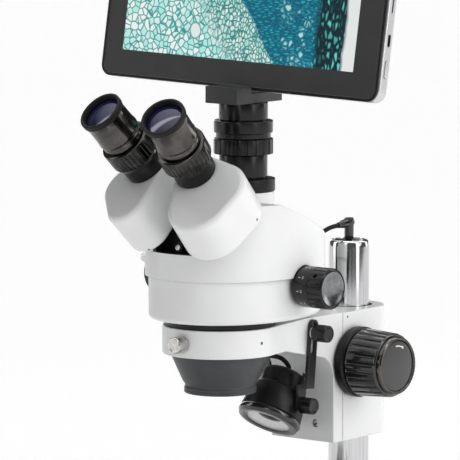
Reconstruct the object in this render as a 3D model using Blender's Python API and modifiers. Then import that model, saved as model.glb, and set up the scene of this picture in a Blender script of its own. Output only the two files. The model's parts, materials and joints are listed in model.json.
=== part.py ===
"""Trinocular stereo microscope on a pole stand, with an incident lamp and a camera tablet.

Sizes are in millimetres and become metres where a mesh or a location is made.
The origin is the centre of the stage plate's top face, on the optical axis.
+X is the user's right, -Y points to the user, +Z is up.
"""

import math

import bmesh
import bpy
from mathutils import Matrix, Vector

MM = 0.001
GAP = 0.3                      # clearance between pieces that touch

# Stand
BASE_HALF_WIDTH = 102.5
BASE_FRONT = -116.0
BASE_REAR = 186.0
BASE_TOP = -1.5
BASE_BOTTOM = -55.5
BASE_WALL = 3.5
FOOT_BOTTOM = -62.0
STAGE_RADIUS = 47.5
STAGE_THICKNESS = 5.0
CLIP_TURN = 8.0                # clips lie beside the plate, turned in by this many degrees
POLE_Y = 148.6
POLE_RADIUS = 15.0
POLE_TOP = 202.5

# Focus drive
BLOCK_BOTTOM = 58.8
BLOCK_TOP = 154.0
BLOCK_HALF_WIDTH = 29.4
BLOCK_REAR_RADIUS = 26.3
SLAB_FRONT = 94.2
SLAB_REAR = 105.0
DRIVE_Y = 119.0
DRIVE_Z = 117.0
PITCH_RADIUS = 8.0
GEAR_TEETH = 16
KNOB_END = 70.0

# Holder ring and head
RING_BOTTOM = 134.0
RING_TOP = 154.4
RING_RADIUS = 42.0
RING_BORE = 38.0
ARM_TANGENT = 12.84            # angle behind the ring's side where the arm leaves it, in degrees
ARM_TAPER_END = 60.0
HEAD_CENTRE_Y = 14.0
HEAD_BOTTOM = 159.6
HEAD_SEAM = 190.8
ROOF_TOP = 245.0
ROOF_SLOPE = 0.4
ZOOM_Y = 26.0
ZOOM_Z = 184.0
PORT_Y = 26.0

# Eyepiece tubes: one side's turning axis, mirrored for the other side. The lobes are circles
# (x, y, radius) round that axis, the first one round the eyepiece, by side
CONVERGENCE = math.radians(6.0)
TUBE_PIVOT = (23.7, -36.0, 232.7)
TUBE_LOBES = {
    1: [(-6.9, 15.1, 17.0), (15.3, 7.0, 25.0), (12.3, -9.0, 25.5)],
    -1: [(1.7, 16.2, 17.5), (-7.3, -2.0, 20.0), (1.4, -17.3, 17.3)],
}
TUBE_DEPTH = 40.0
EYE_RIM = 99.0                 # distance of the eyepiece rim from the mount face

# Lamp
LAMP_PIVOT = (0.0, 62.7, 90.3)
LAMP_LEAN = math.radians(32.7)
BRACKET_SCREW = (29.7, 68.0, 143.7)

# Camera and tablet
CAMERA_TOP = 320.6
CAMERA_STEP = 17.5             # the camera box is taller in front of the tablet
CAMERA_FRONT_TOP = 325.2
TABLET_PIVOT = (0.0, 37.5, 333.0)
TABLET_TILT = math.radians(8.5)
TABLET_ROLL = math.radians(1.3)
TABLET_WIDTH = 260.0
TABLET_SHIFT = -2.0            # tablet's centre line beside its hinge's
TABLET_HEIGHT = 174.5
TABLET_LOW = -11.4             # tablet's lower edge below its hinge
TABLET_BACK = -5.0             # tablet's back face in front of its hinge
TABLET_FRONT = -16.6

for old in list(bpy.data.objects):
    bpy.data.objects.remove(old, do_unlink=True)

PARTS = bpy.data.collections.new("StereoMicroscope")
CUTTERS = bpy.data.collections.new("Cutters")
bpy.context.scene.collection.children.link(PARTS)
bpy.context.scene.collection.children.link(CUTTERS)


# Materials ------------------------------------------------------------------

def finish(name, colour, roughness, metallic=0.0):
    """One Principled material with a colour, a roughness and a metallic value."""
    look = bpy.data.materials.new(name)
    look.use_nodes = True
    shader = look.node_tree.nodes["Principled BSDF"]
    shader.inputs["Base Color"].default_value = (*colour, 1.0)
    shader.inputs["Roughness"].default_value = roughness
    shader.inputs["Metallic"].default_value = metallic
    return look


ENAMEL = finish("white_enamel", (0.83, 0.84, 0.84), 0.35)
BLACK = finish("black_plastic", (0.018, 0.018, 0.02), 0.4)
ANODISED = finish("black_anodised", (0.02, 0.02, 0.024), 0.3, 0.6)
GREY = finish("grey_cast", (0.09, 0.095, 0.1), 0.5)
STEEL = finish("polished_steel", (0.62, 0.62, 0.63), 0.18, 1.0)
BRASS = finish("brass", (0.6, 0.43, 0.16), 0.3, 1.0)
RUBBER = finish("rubber", (0.015, 0.015, 0.015), 0.8)
FROST = finish("frosted_glass", (0.85, 0.88, 0.88), 0.45)
SILVER = finish("silver_case", (0.7, 0.71, 0.72), 0.3, 0.8)
SCREEN = finish("screen_glass", (0.01, 0.012, 0.015), 0.08)
BOARD = finish("circuit_board", (0.02, 0.16, 0.07), 0.5)
LED = finish("led_white", (0.9, 0.88, 0.7), 0.3)


# Building blocks ------------------------------------------------------------

def metres(point):
    return Vector(point) * MM


def add_piece(name, mesh, look):
    piece = bpy.data.objects.new(name, mesh)
    if look:
        mesh.materials.append(look)
    PARTS.objects.link(piece)
    return piece


def place(piece, origin, axis):
    """Put a piece's origin at a point and turn its local Z along an axis."""
    piece.location = metres(origin)
    piece.rotation_euler = Vector(axis).to_track_quat("Z", "Y").to_euler()


def turned(name, profile, origin, axis, look=None, steps=18, ring=False):
    """Turn a (radius, height) profile about an axis; a ring's profile is a closed loop."""
    mesh = bpy.data.meshes.new(name)
    points = [(radius * MM, 0.0, height * MM) for radius, height in profile]
    edges = [(i, i + 1) for i in range(len(points) - 1)]
    if ring:
        edges.append((len(points) - 1, 0))
    mesh.from_pydata(points, edges, [])
    piece = add_piece(name, mesh, look)
    place(piece, origin, axis)
    screw = piece.modifiers.new("Turn", "SCREW")
    screw.steps = steps
    screw.render_steps = steps
    screw.use_merge_vertices = True
    screw.merge_threshold = 0.00001
    screw.use_smooth_shade = True
    return piece


def tube(name, outer, inner, low, high, origin, axis, look=None, steps=20):
    profile = [(outer, high), (outer, low), (inner, low), (inner, high)]
    return turned(name, profile, origin, axis, look, steps, ring=True)


def rod(name, radius, start, end, look=None, steps=14):
    """Solid cylinder between two points, with its origin halfway along."""
    axis = Vector(end) - Vector(start)
    mesh = bpy.data.meshes.new(name)
    shape = bmesh.new()
    bmesh.ops.create_cone(shape, cap_ends=True, segments=steps, radius1=radius * MM,
                          radius2=radius * MM, depth=axis.length * MM)
    shape.to_mesh(mesh)
    shape.free()
    piece = add_piece(name, mesh, look)
    place(piece, (Vector(start) + Vector(end)) / 2.0, axis)
    return piece


def box(name, low, high, look=None):
    mesh = bpy.data.meshes.new(name)
    shape = bmesh.new()
    size = [(b - a) * MM for a, b in zip(low, high)]
    bmesh.ops.create_cube(shape, size=1.0, matrix=Matrix.Diagonal((*size, 1.0)))
    shape.to_mesh(mesh)
    shape.free()
    piece = add_piece(name, mesh, look)
    piece.location = metres([(a + b) / 2.0 for a, b in zip(low, high)])
    return piece


def flat(name, outline, low, high, look=None, across="Z"):
    """Extrude an outline from low to high: (x, y) points across Z, (y, z) points across X."""
    curve = bpy.data.curves.new(name, "CURVE")
    curve.dimensions = "2D"
    curve.fill_mode = "BOTH"
    curve.extrude = (high - low) * MM / 2.0
    spline = curve.splines.new("POLY")
    spline.points.add(len(outline) - 1)
    spline.use_cyclic_u = True
    for point, (u, v) in zip(spline.points, outline):
        point.co = (u * MM, v * MM, 0.0, 1.0)
    drawing = bpy.data.objects.new(name, curve)
    PARTS.objects.link(drawing)
    drawn = drawing.evaluated_get(bpy.context.evaluated_depsgraph_get())
    mesh = bpy.data.meshes.new_from_object(drawn)
    bpy.data.objects.remove(drawing, do_unlink=True)
    weld(mesh)
    piece = add_piece(name, mesh, look)
    middle = (high + low) / 2.0
    if across == "X":
        piece.location = metres((middle, 0.0, 0.0))
        piece.rotation_euler = (math.pi / 2.0, 0.0, math.pi / 2.0)
    else:
        piece.location = metres((0.0, 0.0, middle))
    return piece


def weld(mesh):
    """Join the loose caps of a filled curve to its walls."""
    shape = bmesh.new()
    shape.from_mesh(mesh)
    bmesh.ops.remove_doubles(shape, verts=shape.verts, dist=0.000001)
    bmesh.ops.recalc_face_normals(shape, faces=shape.faces)
    shape.to_mesh(mesh)
    shape.free()


def combine(piece, tool, operation):
    """Boolean a tool into a piece and keep the tool as a hidden guide."""
    PARTS.objects.unlink(tool)
    CUTTERS.objects.link(tool)
    tool.hide_render = True
    tool.display_type = "WIRE"
    step = piece.modifiers.new(tool.name, "BOOLEAN")
    step.operation = operation
    step.solver = "EXACT"
    step.object = tool


def cut(piece, *tools):
    for tool in tools:
        combine(piece, tool, "DIFFERENCE")


def join(piece, *tools):
    for tool in tools:
        combine(piece, tool, "UNION")


def soften(piece, width, segments=1):
    bevel = piece.modifiers.new("Soften", "BEVEL")
    bevel.width = width * MM
    bevel.segments = segments
    bevel.limit_method = "ANGLE"
    bevel.angle_limit = math.radians(40.0)


def pivot(name, origin, rotation=(0.0, 0.0, 0.0)):
    """Empty on a joint's axis, which the pieces of a moving body hang on."""
    empty = bpy.data.objects.new(name, None)
    PARTS.objects.link(empty)
    empty.location = metres(origin)
    empty.rotation_euler = rotation
    return empty


def hang(empty, *pieces):
    """Parent world-placed pieces to an empty without moving them."""
    for piece in pieces:
        piece.parent = empty
        piece.matrix_parent_inverse = empty.matrix_basis.inverted()


def mount_inside(empty, *pieces):
    """Parent pieces whose locations are already written in the empty's own frame."""
    for piece in pieces:
        piece.parent = empty


def half_space(name, point, normal, size=320.0):
    """Big cube that lies wholly on the normal's side of a plane."""
    mesh = bpy.data.meshes.new(name)
    shape = bmesh.new()
    lift = Matrix.Translation((0.0, 0.0, size * MM / 2.0))
    bmesh.ops.create_cube(shape, size=size * MM, matrix=lift)
    shape.to_mesh(mesh)
    shape.free()
    piece = add_piece(name, mesh, None)
    place(piece, point, normal)
    return piece


def arc(centre, radius, start, end, count):
    """Points on an arc, from one angle to another in degrees."""
    points = []
    for i in range(count + 1):
        angle = math.radians(start + (end - start) * i / count)
        points.append((centre[0] + radius * math.cos(angle), centre[1] + radius * math.sin(angle)))
    return points


def rounded(low, high, radius, count=4):
    """Rectangle from low to high with round corners."""
    points = arc((high[0] - radius, high[1] - radius), radius, 0, 90, count)
    points += arc((low[0] + radius, high[1] - radius), radius, 90, 180, count)
    points += arc((low[0] + radius, low[1] + radius), radius, 180, 270, count)
    points += arc((high[0] - radius, low[1] + radius), radius, 270, 360, count)
    return points


def hull_of_circles(circles, count=30):
    """Outline that wraps circles given as (x, y, radius)."""
    points = []
    for i in range(count):
        angle = 2.0 * math.pi * i / count
        nx, ny = math.cos(angle), math.sin(angle)
        x, y, radius = max(circles, key=lambda c: c[0] * nx + c[1] * ny + c[2])
        points.append((x + radius * nx, y + radius * ny))
    return points


def egg(half_width, front, rear, count=36):
    """Plan outline of the head: a full oval, blunter at the front than at the rear."""
    power = 2.0 / 2.1
    points = []
    for i in range(count):
        angle = 2.0 * math.pi * i / count
        c, s = math.cos(angle), math.sin(angle)
        reach = rear if s > 0.0 else front
        x = math.copysign(half_width * abs(c) ** power, c)
        points.append((x, HEAD_CENTRE_Y + math.copysign(reach * abs(s) ** power, s)))
    return points


# Stand ----------------------------------------------------------------------

def build_base():
    """Base casting: an open-bottomed shell with a seat for the stage plate and a pole socket."""
    low = (-BASE_HALF_WIDTH, BASE_FRONT)
    high = (BASE_HALF_WIDTH, BASE_REAR)
    base = flat("base_housing", rounded(low, high, 26.0), BASE_BOTTOM, BASE_TOP, ENAMEL)
    soften(base, 4.0, 2)
    low = (low[0] + BASE_WALL, low[1] + BASE_WALL)
    high = (high[0] - BASE_WALL, high[1] - BASE_WALL)
    hollow = rounded(low, high, 22.0)
    cut(base, flat("base_hollow", hollow, BASE_BOTTOM - 10.0, BASE_TOP - BASE_WALL))
    join(base, rod("stage_boss", 53.0, (0, 0, -14.0), (0, 0, -3.0), steps=24))
    join(base, rod("pole_boss", 24.0, (0, POLE_Y, -48.0), (0, POLE_Y, 8.0), steps=20))
    seat = -STAGE_THICKNESS - GAP
    cut(base, rod("stage_seat", STAGE_RADIUS + GAP, (0, 0, seat), (0, 0, 10.0), steps=24))
    cut(base, rod("stage_well", 43.0, (0, 0, -30.0), (0, 0, 5.0), steps=24))
    cut(base, rod("pole_socket", POLE_RADIUS + GAP, (0, POLE_Y, -60.0), (0, POLE_Y, 20.0), steps=20))
    for side in (-1, 1):
        cut(base, rod(f"clip_hole_{side}", 2.8, (60 * side, 22, -20), (60 * side, 22, 10), steps=10))
        cut(base, rod(f"dimmer_hole_{side}", 3.6, (90 * side, -70, -28), (110 * side, -70, -28), steps=10))
    cut(base, box("switch_hole", (-59, 176, -38), (-41, 190, -22)))
    cut(base, rod("socket_hole", 5.6, (50, 176, -30), (50, 190, -30)))


def build_base_fittings():
    """Floor plate, feet, stage plate and the electrical pieces inside the base."""
    low = (-BASE_HALF_WIDTH + BASE_WALL + GAP, BASE_FRONT + BASE_WALL + GAP)
    high = (BASE_HALF_WIDTH - BASE_WALL - GAP, BASE_REAR - BASE_WALL - GAP)
    flat("base_cover", rounded(low, high, 21.7), BASE_BOTTOM, BASE_BOTTOM + 2.5, GREY)
    for name, x, y in (("front_left", -82, -92), ("front_right", 82, -92),
                       ("rear_left", -82, 162), ("rear_right", 82, 162)):
        profile = [(0, 0), (11, 0), (11, -3.5), (9.5, FOOT_BOTTOM - BASE_BOTTOM + GAP)]
        profile.append((0, profile[-1][1]))
        turned(f"foot_{name}", profile, (x, y, BASE_BOTTOM - GAP), (0, 0, 1), RUBBER, steps=12)
    plate = [(0, 0), (STAGE_RADIUS - 0.6, 0), (STAGE_RADIUS, -0.6)]
    plate += [(STAGE_RADIUS, -STAGE_THICKNESS), (0, -STAGE_THICKNESS)]
    turned("stage_plate", plate, (0, 0, 0), (0, 0, 1), FROST, steps=24)
    cup = [(0, -20), (9, -20), (9, -23.5), (38, -23.5), (40.5, -9), (42.6, -9), (42.6, -26), (0, -26)]
    turned("stage_light", cup, (0, 0, 0), (0, 0, 1), LED)
    box("driver_board", (-35, 65, -46.0), (35, 115, -44.4), BOARD)
    socket = [(0, 3), (6.5, 3), (6.5, 0.4), (5.3, 0.4), (5.3, -12), (0, -12)]
    turned("power_socket", socket, (50, BASE_REAR, -30), (0, 1, 0), BLACK, steps=12)


def build_base_controls():
    """Rocker switch, two dimmer knobs and the two specimen clips."""
    hinge = pivot("power_switch_pivot", (-50, BASE_REAR - 2.0, -30), (math.radians(-8), 0, 0))
    rocker = box("power_switch", (-8.5, -7, -6.6), (8.5, 4.2, 6.6), BLACK)
    soften(rocker, 1.0)
    mount_inside(hinge, rocker)
    for side, word in ((-1, "left"), (1, "right")):
        profile = [(0, 14), (10.5, 14), (12, 12.5), (12, GAP), (3.2, GAP), (3.2, -10), (0, -10)]
        origin = (BASE_HALF_WIDTH * side, -70, -28)
        turned(f"dimmer_knob_{word}", profile, origin, (side, 0, 0), BLACK, steps=14)
        build_clip(side, word)


def build_clip(side, word):
    """Spring-steel specimen clip: a strip that leans down to the plate, on a post."""
    hinge = pivot(f"stage_clip_{word}_pivot", (60 * side, 22, 0), (0, 0, math.radians(-CLIP_TURN * side)))
    side_view = [(6, 4.4), (-6, 4.4), (-50, 1.6), (-55, 0.4), (-60, 1.4), (-60, 2.0), (-55, 1.0),
                 (-50, 2.2), (-6, 5.0), (6, 5.0)]
    strip = flat(f"stage_clip_{word}", side_view, -4.0, 4.0, STEEL, across="X")
    post = [(0, 9), (4.5, 9), (4.5, 0.6), (2.5, 0.6), (2.5, -8), (0, -8)]
    tool = turned(f"clip_post_{word}", post, (0, 0, 0), (0, 0, 1), steps=12)
    join(strip, tool)
    mount_inside(hinge, strip, tool)


def build_pole():
    """Hollow steel pole, its cap, the right-angle plug and the lamp's cable."""
    top = POLE_TOP
    low = -47.0
    profile = [(13.2, top), (14.4, top - 1.2), (15, top - 5), (15, low), (12.5, low), (12.5, top)]
    turned("pole", profile, (0, POLE_Y, 0), (0, 0, 1), STEEL, steps=24, ring=True)
    cap = [(2.6, -1.2), (12.2, -1.2), (12.2, -9), (2.6, -9)]
    turned("pole_cap", cap, (0, POLE_Y, top), (0, 0, 1), BLACK, steps=14, ring=True)
    plug = rod("cable_plug", 3.5, (0, POLE_Y, top - GAP), (0, POLE_Y, 218.5), BLACK)
    join(plug, rod("plug_pin", 2.3, (0, POLE_Y, top - 12), (0, POLE_Y, top + 4), steps=10))
    join(plug, rod("plug_arm", 3.1, (0, POLE_Y, 215.2), (0, POLE_Y - 13, 213.8)))
    build_cable()


def build_cable():
    """Lamp cable, from the plug down behind the head, round the carriage and into the lamp."""
    way = [(0, 135.0, 213.8), (-2, 128, 212.4), (-6, 121, 208), (-14, 114, 199), (-24, 107, 186),
           (-32, 100, 170), (-36, 95, 152), (-36.5, 89, 138), (-35.5, 83, 126), (-31.5, 78.5, 120.5),
           (-18, 75, 121.5), (-9, 74, 121.8), (-3, 75.2, 120), (0, 78.2, 114.4), (0, 75.95, 110.95)]
    curve = bpy.data.curves.new("lamp_cable", "CURVE")
    curve.dimensions = "3D"
    curve.bevel_depth = 1.7 * MM
    curve.bevel_resolution = 2
    curve.use_fill_caps = True
    spline = curve.splines.new("POLY")
    spline.points.add(len(way) - 1)
    for point, place_mm in zip(spline.points, way):
        point.co = (*metres(place_mm), 1.0)
    cable = bpy.data.objects.new("lamp_cable", curve)
    curve.materials.append(RUBBER)
    PARTS.objects.link(cable)


# Focus drive ----------------------------------------------------------------

def build_clamp():
    """Liner that slides on the pole, and the block that turns on it and holds the drive."""
    tube("pole_bush", 17.2, POLE_RADIUS + GAP, BLOCK_BOTTOM, BLOCK_TOP, (0, POLE_Y, 0), (0, 0, 1), BLACK)
    front = SLAB_REAR + GAP
    outline = [(BLOCK_HALF_WIDTH, front)]
    outline += arc((0, POLE_Y), BLOCK_REAR_RADIUS, 4, 176, 18)
    outline += [(-BLOCK_HALF_WIDTH, front)]
    block = flat("clamp_block", outline, BLOCK_BOTTOM, BLOCK_TOP, ENAMEL)
    bore = rod("block_bore", 17.5, (0, POLE_Y, 40), (0, POLE_Y, 170), steps=20)
    channel = box("rack_channel", (-6.6, front - 5, 40), (6.6, 112.4, 170))
    shaft = rod("pinion_bore", 4.9, (-40, DRIVE_Y, DRIVE_Z), (40, DRIVE_Y, DRIVE_Z))
    pocket = rod("pinion_pocket", 9.6, (-7.6, DRIVE_Y, DRIVE_Z), (7.6, DRIVE_Y, DRIVE_Z), steps=14)
    screw = rod("clamp_screw_hole", 4.3, (0, 160, 106), (0, 190, 106), steps=10)
    cut(block, bore, channel, shaft, pocket, screw)
    knob = [(0, 38), (14, 38), (16, 36), (16, 14), (9, 10), (9, 9.0), (4, 9.0), (4, 0), (0, 0)]
    turned("pole_clamp_knob", knob, (0, 166.6, 106), (0, 1, 0), BLACK, steps=14)
    hang(pivot("clamp_block_pivot", (0, POLE_Y, DRIVE_Z)), block)


def gear_outline():
    """Straight-flanked spur gear with one tooth pointing at the rack."""
    pitch = 2.0 * math.pi / GEAR_TEETH
    flanks = ((6.7, -0.142), (8.8, -0.034), (8.8, 0.034), (6.7, 0.142))
    points = []
    for tooth in range(GEAR_TEETH):
        for radius, offset in flanks:
            angle = math.pi + tooth * pitch + offset
            points.append((DRIVE_Y + radius * math.cos(angle), DRIVE_Z + radius * math.sin(angle)))
    return points


def rack_outline():
    """Rack in side view; a space between two teeth faces the gear's tooth."""
    pitch = 2.0 * math.pi * PITCH_RADIUS / GEAR_TEETH
    pitch_line = DRIVE_Y - PITCH_RADIUS
    back = SLAB_REAR + GAP
    teeth = 20
    points = [(back, DRIVE_Z - teeth / 2 * pitch), (pitch_line - 1.2, DRIVE_Z - teeth / 2 * pitch)]
    for tooth in range(teeth):
        middle = DRIVE_Z + (tooth + 0.5 - teeth / 2) * pitch
        points.append((pitch_line - 1.2, middle - 1.06))
        points.append((pitch_line + 0.8, middle - 0.33))
        points.append((pitch_line + 0.8, middle + 0.33))
        points.append((pitch_line - 1.2, middle + 1.06))
    points += [(pitch_line - 1.2, DRIVE_Z + teeth / 2 * pitch), (back, DRIVE_Z + teeth / 2 * pitch)]
    return points


def build_drive():
    """Pinion shaft with its gear, the two focus knobs, the tension collar and the rack."""
    shaft = rod("pinion_shaft", 4.5, (-65, DRIVE_Y, DRIVE_Z), (65, DRIVE_Y, DRIVE_Z), STEEL)
    join(shaft, flat("pinion_gear", gear_outline(), -5.5, 5.5, across="X"))
    end = KNOB_END
    right = [(0, end), (20, end), (21.5, end - 1.5), (21.5, 66), (23.6, 65), (25, 40), (24, 38.3),
             (4.8, 38.3), (4.8, 65.5), (0, 65.5)]
    left = right[:5] + [(25, 40), (26, 38), (26, 31), (25, 29.7), (4.8, 29.7), (4.8, 65.5), (0, 65.5)]
    origin = (0, DRIVE_Y, DRIVE_Z)
    turned("focus_knob_right", right, origin, (1, 0, 0), BLACK, steps=24)
    turned("focus_knob_left", left, origin, (-1, 0, 0), BLACK, steps=24)
    collar = [(24.5, 38), (26, 36.5), (26, 31), (25, 29.7), (4.8, 29.7), (4.8, 38)]
    turned("tension_collar", collar, origin, (1, 0, 0), BLACK, steps=20, ring=True)
    flat("focus_rack", rack_outline(), -6.0, 6.0, STEEL, across="X")


def build_holder():
    """Carriage casting: the head ring, its arm and the slab that rides on the rack."""
    reach = RING_RADIUS + 1
    side_view = [(-reach, RING_TOP), (-reach, RING_BOTTOM), (32, RING_BOTTOM)]
    side_view += arc((77.6, 107.6), 16.6, 78, 0, 6)
    side_view += [(SLAB_FRONT, BLOCK_BOTTOM), (SLAB_REAR, BLOCK_BOTTOM), (SLAB_REAR, RING_TOP)]
    holder = flat("holder_arm", side_view, -reach, reach, ENAMEL, across="X")
    plan = [(-BLOCK_HALF_WIDTH, SLAB_REAR + 5), (-BLOCK_HALF_WIDTH, ARM_TAPER_END)]
    plan += arc((0, 0), RING_RADIUS, 180 - ARM_TANGENT, 360 + ARM_TANGENT, 36)
    plan += [(BLOCK_HALF_WIDTH, ARM_TAPER_END), (BLOCK_HALF_WIDTH, SLAB_REAR + 5)]
    combine(holder, flat("holder_plan", plan, BLOCK_BOTTOM - 5, RING_TOP + 5), "INTERSECT")
    cut(holder, rod("ring_bore", RING_BORE, (0, 0, 120), (0, 0, 170), steps=32))
    cut(holder, rod("ring_screw_hole", 2.3, (0, -50, 144), (0, -30, 144), steps=10))
    x, y, z = BRACKET_SCREW
    cut(holder, rod("bracket_screw_hole", 2.3, (20, y, z), (40, y, z), steps=10))
    for side in (-1, 1):
        hole = rod(f"slab_screw_{side}", 3.0, (12 * side, 90, 72), (12 * side, 97.5, 72), steps=10)
        cut(holder, hole)
    screw = [(0, 13.4), (5.2, 13.4), (6, 12.6), (6, 4.3), (5.2, 3.6), (2, 3.6), (2, 0), (0, 0)]
    turned("ring_clamp_screw", screw, (0, -39, 144), (0, -1, 0), STEEL, steps=14)


# Lamp -----------------------------------------------------------------------

def build_lamp_bracket():
    """Slotted bar, its guide washer and the two clamp knobs."""
    x, y, z = BRACKET_SCREW
    lean = math.atan2(y - LAMP_PIVOT[1], z - LAMP_PIVOT[2])
    frame = pivot("lamp_bracket_pivot", BRACKET_SCREW, (-lean, 0, 0))
    outline = arc((0, 5.0), 4.5, 0, 180, 8) + [(-4.5, -41), (4.5, -41)]
    bar = flat("lamp_bracket", outline, 0.0, 2.3, BLACK, across="X")
    slot = flat("bracket_slot", arc((0, 5.2), 2.4, 0, 180, 6) + arc((0, -13.5), 2.4, 180, 360, 6),
                -3.0, 6.0, across="X")
    reach = math.hypot(y - LAMP_PIVOT[1], z - LAMP_PIVOT[2])
    tab_outline = [(4.5, -38.7), (-4.5, -38.7)] + arc((0, -reach), 4.5, 180, 360, 8)
    tab = flat("bracket_tab", tab_outline, -7.2, -5.2, across="X")
    step = box("bracket_step", (-6.0, -4.5, -41.0), (1.0, 4.5, -38.7))
    hole = rod("bracket_hole", 2.3, (-12, 0, -reach), (0, 0, -reach), steps=10)
    join(bar, step, tab)
    cut(bar, slot, hole)
    mount_inside(frame, bar, slot, tab, step, hole)
    tube("lamp_washer", 5.5, 2.3, 2.6, 3.5, (x, y, z), (1, 0, 0), STEEL, steps=14)
    knob = [(0, 16.3), (5.6, 16.3), (6.3, 15.6), (6.3, 4.4), (5.8, 3.8), (2, 3.8), (2, -8), (0, -8)]
    turned("lamp_knob_upper", knob, (x, y, z), (1, 0, 0), BLACK, steps=14)
    knob = [(0, 12.2), (5.3, 12.2), (6, 11.5), (6, 0.9), (5.5, 0.3), (2, 0.3), (2, -4.2), (0, -4.2)]
    turned("lamp_knob_lower", knob, (24.5, *LAMP_PIVOT[1:]), (1, 0, 0), BLACK, steps=14)


def build_lamp():
    """Lamp head: housing shell, glossy bezel and the reflector with its emitter."""
    axis = (0, math.sin(LAMP_LEAN), math.cos(LAMP_LEAN))
    shell = [(0, 24), (13.5, 24), (16.5, 21.2), (16.5, 10.2), (19.5, 9.6), (22, -0.3), (23.2, -10.6),
             (20.9, -10.6), (19.8, -0.3), (17.3, 7.6), (14.3, 8.6), (14.3, 21.6), (0, 21.6)]
    housing = turned("lamp_housing", shell, LAMP_PIVOT, axis, BLACK, steps=20)
    screw_hole = rod("lamp_screw_hole", 2.3, (17, *LAMP_PIVOT[1:]), (26, *LAMP_PIVOT[1:]), steps=10)
    cut(housing, screw_hole)
    bezel = [(23.6, -11.1), (23.8, -14), (22.2, -16.4), (19, -16.4), (19, -10.9), (22, -10.9)]
    turned("lamp_bezel", bezel, LAMP_PIVOT, axis, ANODISED, steps=20, ring=True)
    bowl = [(0, -7.4), (18.6, -7.4), (18.6, -15.4), (17.4, -15.4), (8, -9.9), (5, -9.9), (4, -12.2),
            (0, -13)]
    turned("lamp_led", bowl, LAMP_PIVOT, axis, LED, steps=14)


# Head -----------------------------------------------------------------------

def build_objective():
    """Neck that sits in the ring, the nose cone and the two objectives inside it."""
    neck = [(40, 159.3), (40, 154.7), (37.7, 154.7), (37.7, 134.0), (30, 134.0), (30, 159.3)]
    turned("neck_flange", neck, (0, 0, 0), (0, 0, 1), BLACK, steps=24, ring=True)
    cone = [(36.3, 133.7), (34.6, 130.1), (27.5, 114.1), (25.4, 111), (26.2, 109), (26.2, 105.6),
            (25.6, 105), (22, 105), (22, 111), (32.5, 133.7)]
    turned("objective_cone", cone, (0, 0, 0), (0, 0, 1), GREY, steps=24, ring=True)
    for side, word in ((-1, "left"), (1, "right")):
        lean = CONVERGENCE * side
        axis = (math.sin(lean), 0, math.cos(lean))
        barrel = [(0, 152), (9.6, 152), (9.6, 111), (8.2, 111), (6.5, 113), (0, 114)]
        turned(f"objective_{word}", barrel, (0, 0, 0), axis, BRASS, steps=14)


def build_lower_housing():
    """Lower half of the head's casing, with the openings for the light and the zoom shaft."""
    body = flat("lower_housing", egg(54.5, 66.5, 73.0), HEAD_BOTTOM, HEAD_SEAM + 10, ENAMEL)
    soften(body, 3.5, 2)
    cut(body, half_space("lower_trim", (0, 0, HEAD_SEAM - GAP / 2), (0, 0, 1)))
    cut(body, flat("lower_hollow", egg(51.5, 63.5, 70.0, 24), HEAD_BOTTOM + 3, HEAD_SEAM + 20))
    cut(body, rod("light_hole", 28.0, (0, 0, 150), (0, 0, 170), steps=20))
    cut(body, rod("zoom_hole", 4.9, (-90, ZOOM_Y, ZOOM_Z), (90, ZOOM_Y, ZOOM_Z), steps=12))


def roof_cutters(word, inset):
    """Planes of the roof, its rear slope and the two tube mounts, moved inwards by an inset."""
    right = Vector((math.sin(CONVERGENCE), -math.cos(CONVERGENCE) * math.sqrt(0.5),
                    math.cos(CONVERGENCE) * math.sqrt(0.5)))
    left = Vector((-right.x, right.y, right.z))
    slope = Vector((0, ROOF_SLOPE, 1)).normalized()
    mount = Vector(TUBE_PIVOT)
    mirrored = Vector((-mount.x, mount.y, mount.z))
    return [half_space(f"{word}_roof", (0, 0, ROOF_TOP - inset), (0, 0, 1)),
            half_space(f"{word}_slope", Vector((0, 0, ROOF_TOP)) - slope * inset, slope),
            half_space(f"{word}_mount_right", mount - right * inset, right),
            half_space(f"{word}_mount_left", mirrored - left * inset, left)]


def build_upper_housing():
    """Upper half of the head's casing, under the tubes and the camera port."""
    body = flat("upper_housing", egg(58.0, 68.0, 76.0), HEAD_SEAM - 12, ROOF_TOP + 10, ENAMEL)
    cut(body, *roof_cutters("upper", 0.0))
    soften(body, 4.5, 2)
    cut(body, half_space("upper_trim", (0, 0, HEAD_SEAM + GAP / 2), (0, 0, -1)))
    hollow = flat("upper_hollow", egg(54.5, 64.5, 72.5, 24), HEAD_SEAM - 20, ROOF_TOP + 10)
    cut(hollow, *roof_cutters("hollow", 3.5))
    cut(body, hollow)
    cut(body, rod("port_hole", 22.9, (0, PORT_Y, 205), (0, PORT_Y, 255), steps=20))
    for side in (-1, 1):
        axis = tube_axis(side)
        middle = mirrored_point(TUBE_PIVOT, side)
        cut(body, rod(f"tube_hole_{side}", 13.0, middle - axis * 12, middle + axis * 12))
    cut(body, rod("selector_hole", 2.9, (-70, -12, 199.5), (-30, -12, 199.5), steps=10))
    for side in (-1, 1):
        pocket = rod(f"knob_pocket_{side}", 15.5, (55.6 * side, ZOOM_Y, ZOOM_Z), (70 * side, ZOOM_Y, ZOOM_Z))
        cut(body, pocket)
    rod_profile = [(0, 14), (4.2, 14), (4.8, 13.4), (4.8, 6), (2.5, 5), (2.5, -14), (0, -14)]
    turned("light_path_rod", rod_profile, (-52.5, -12, 199.5), (-1, 0, 0), STEEL, steps=12)


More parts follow.
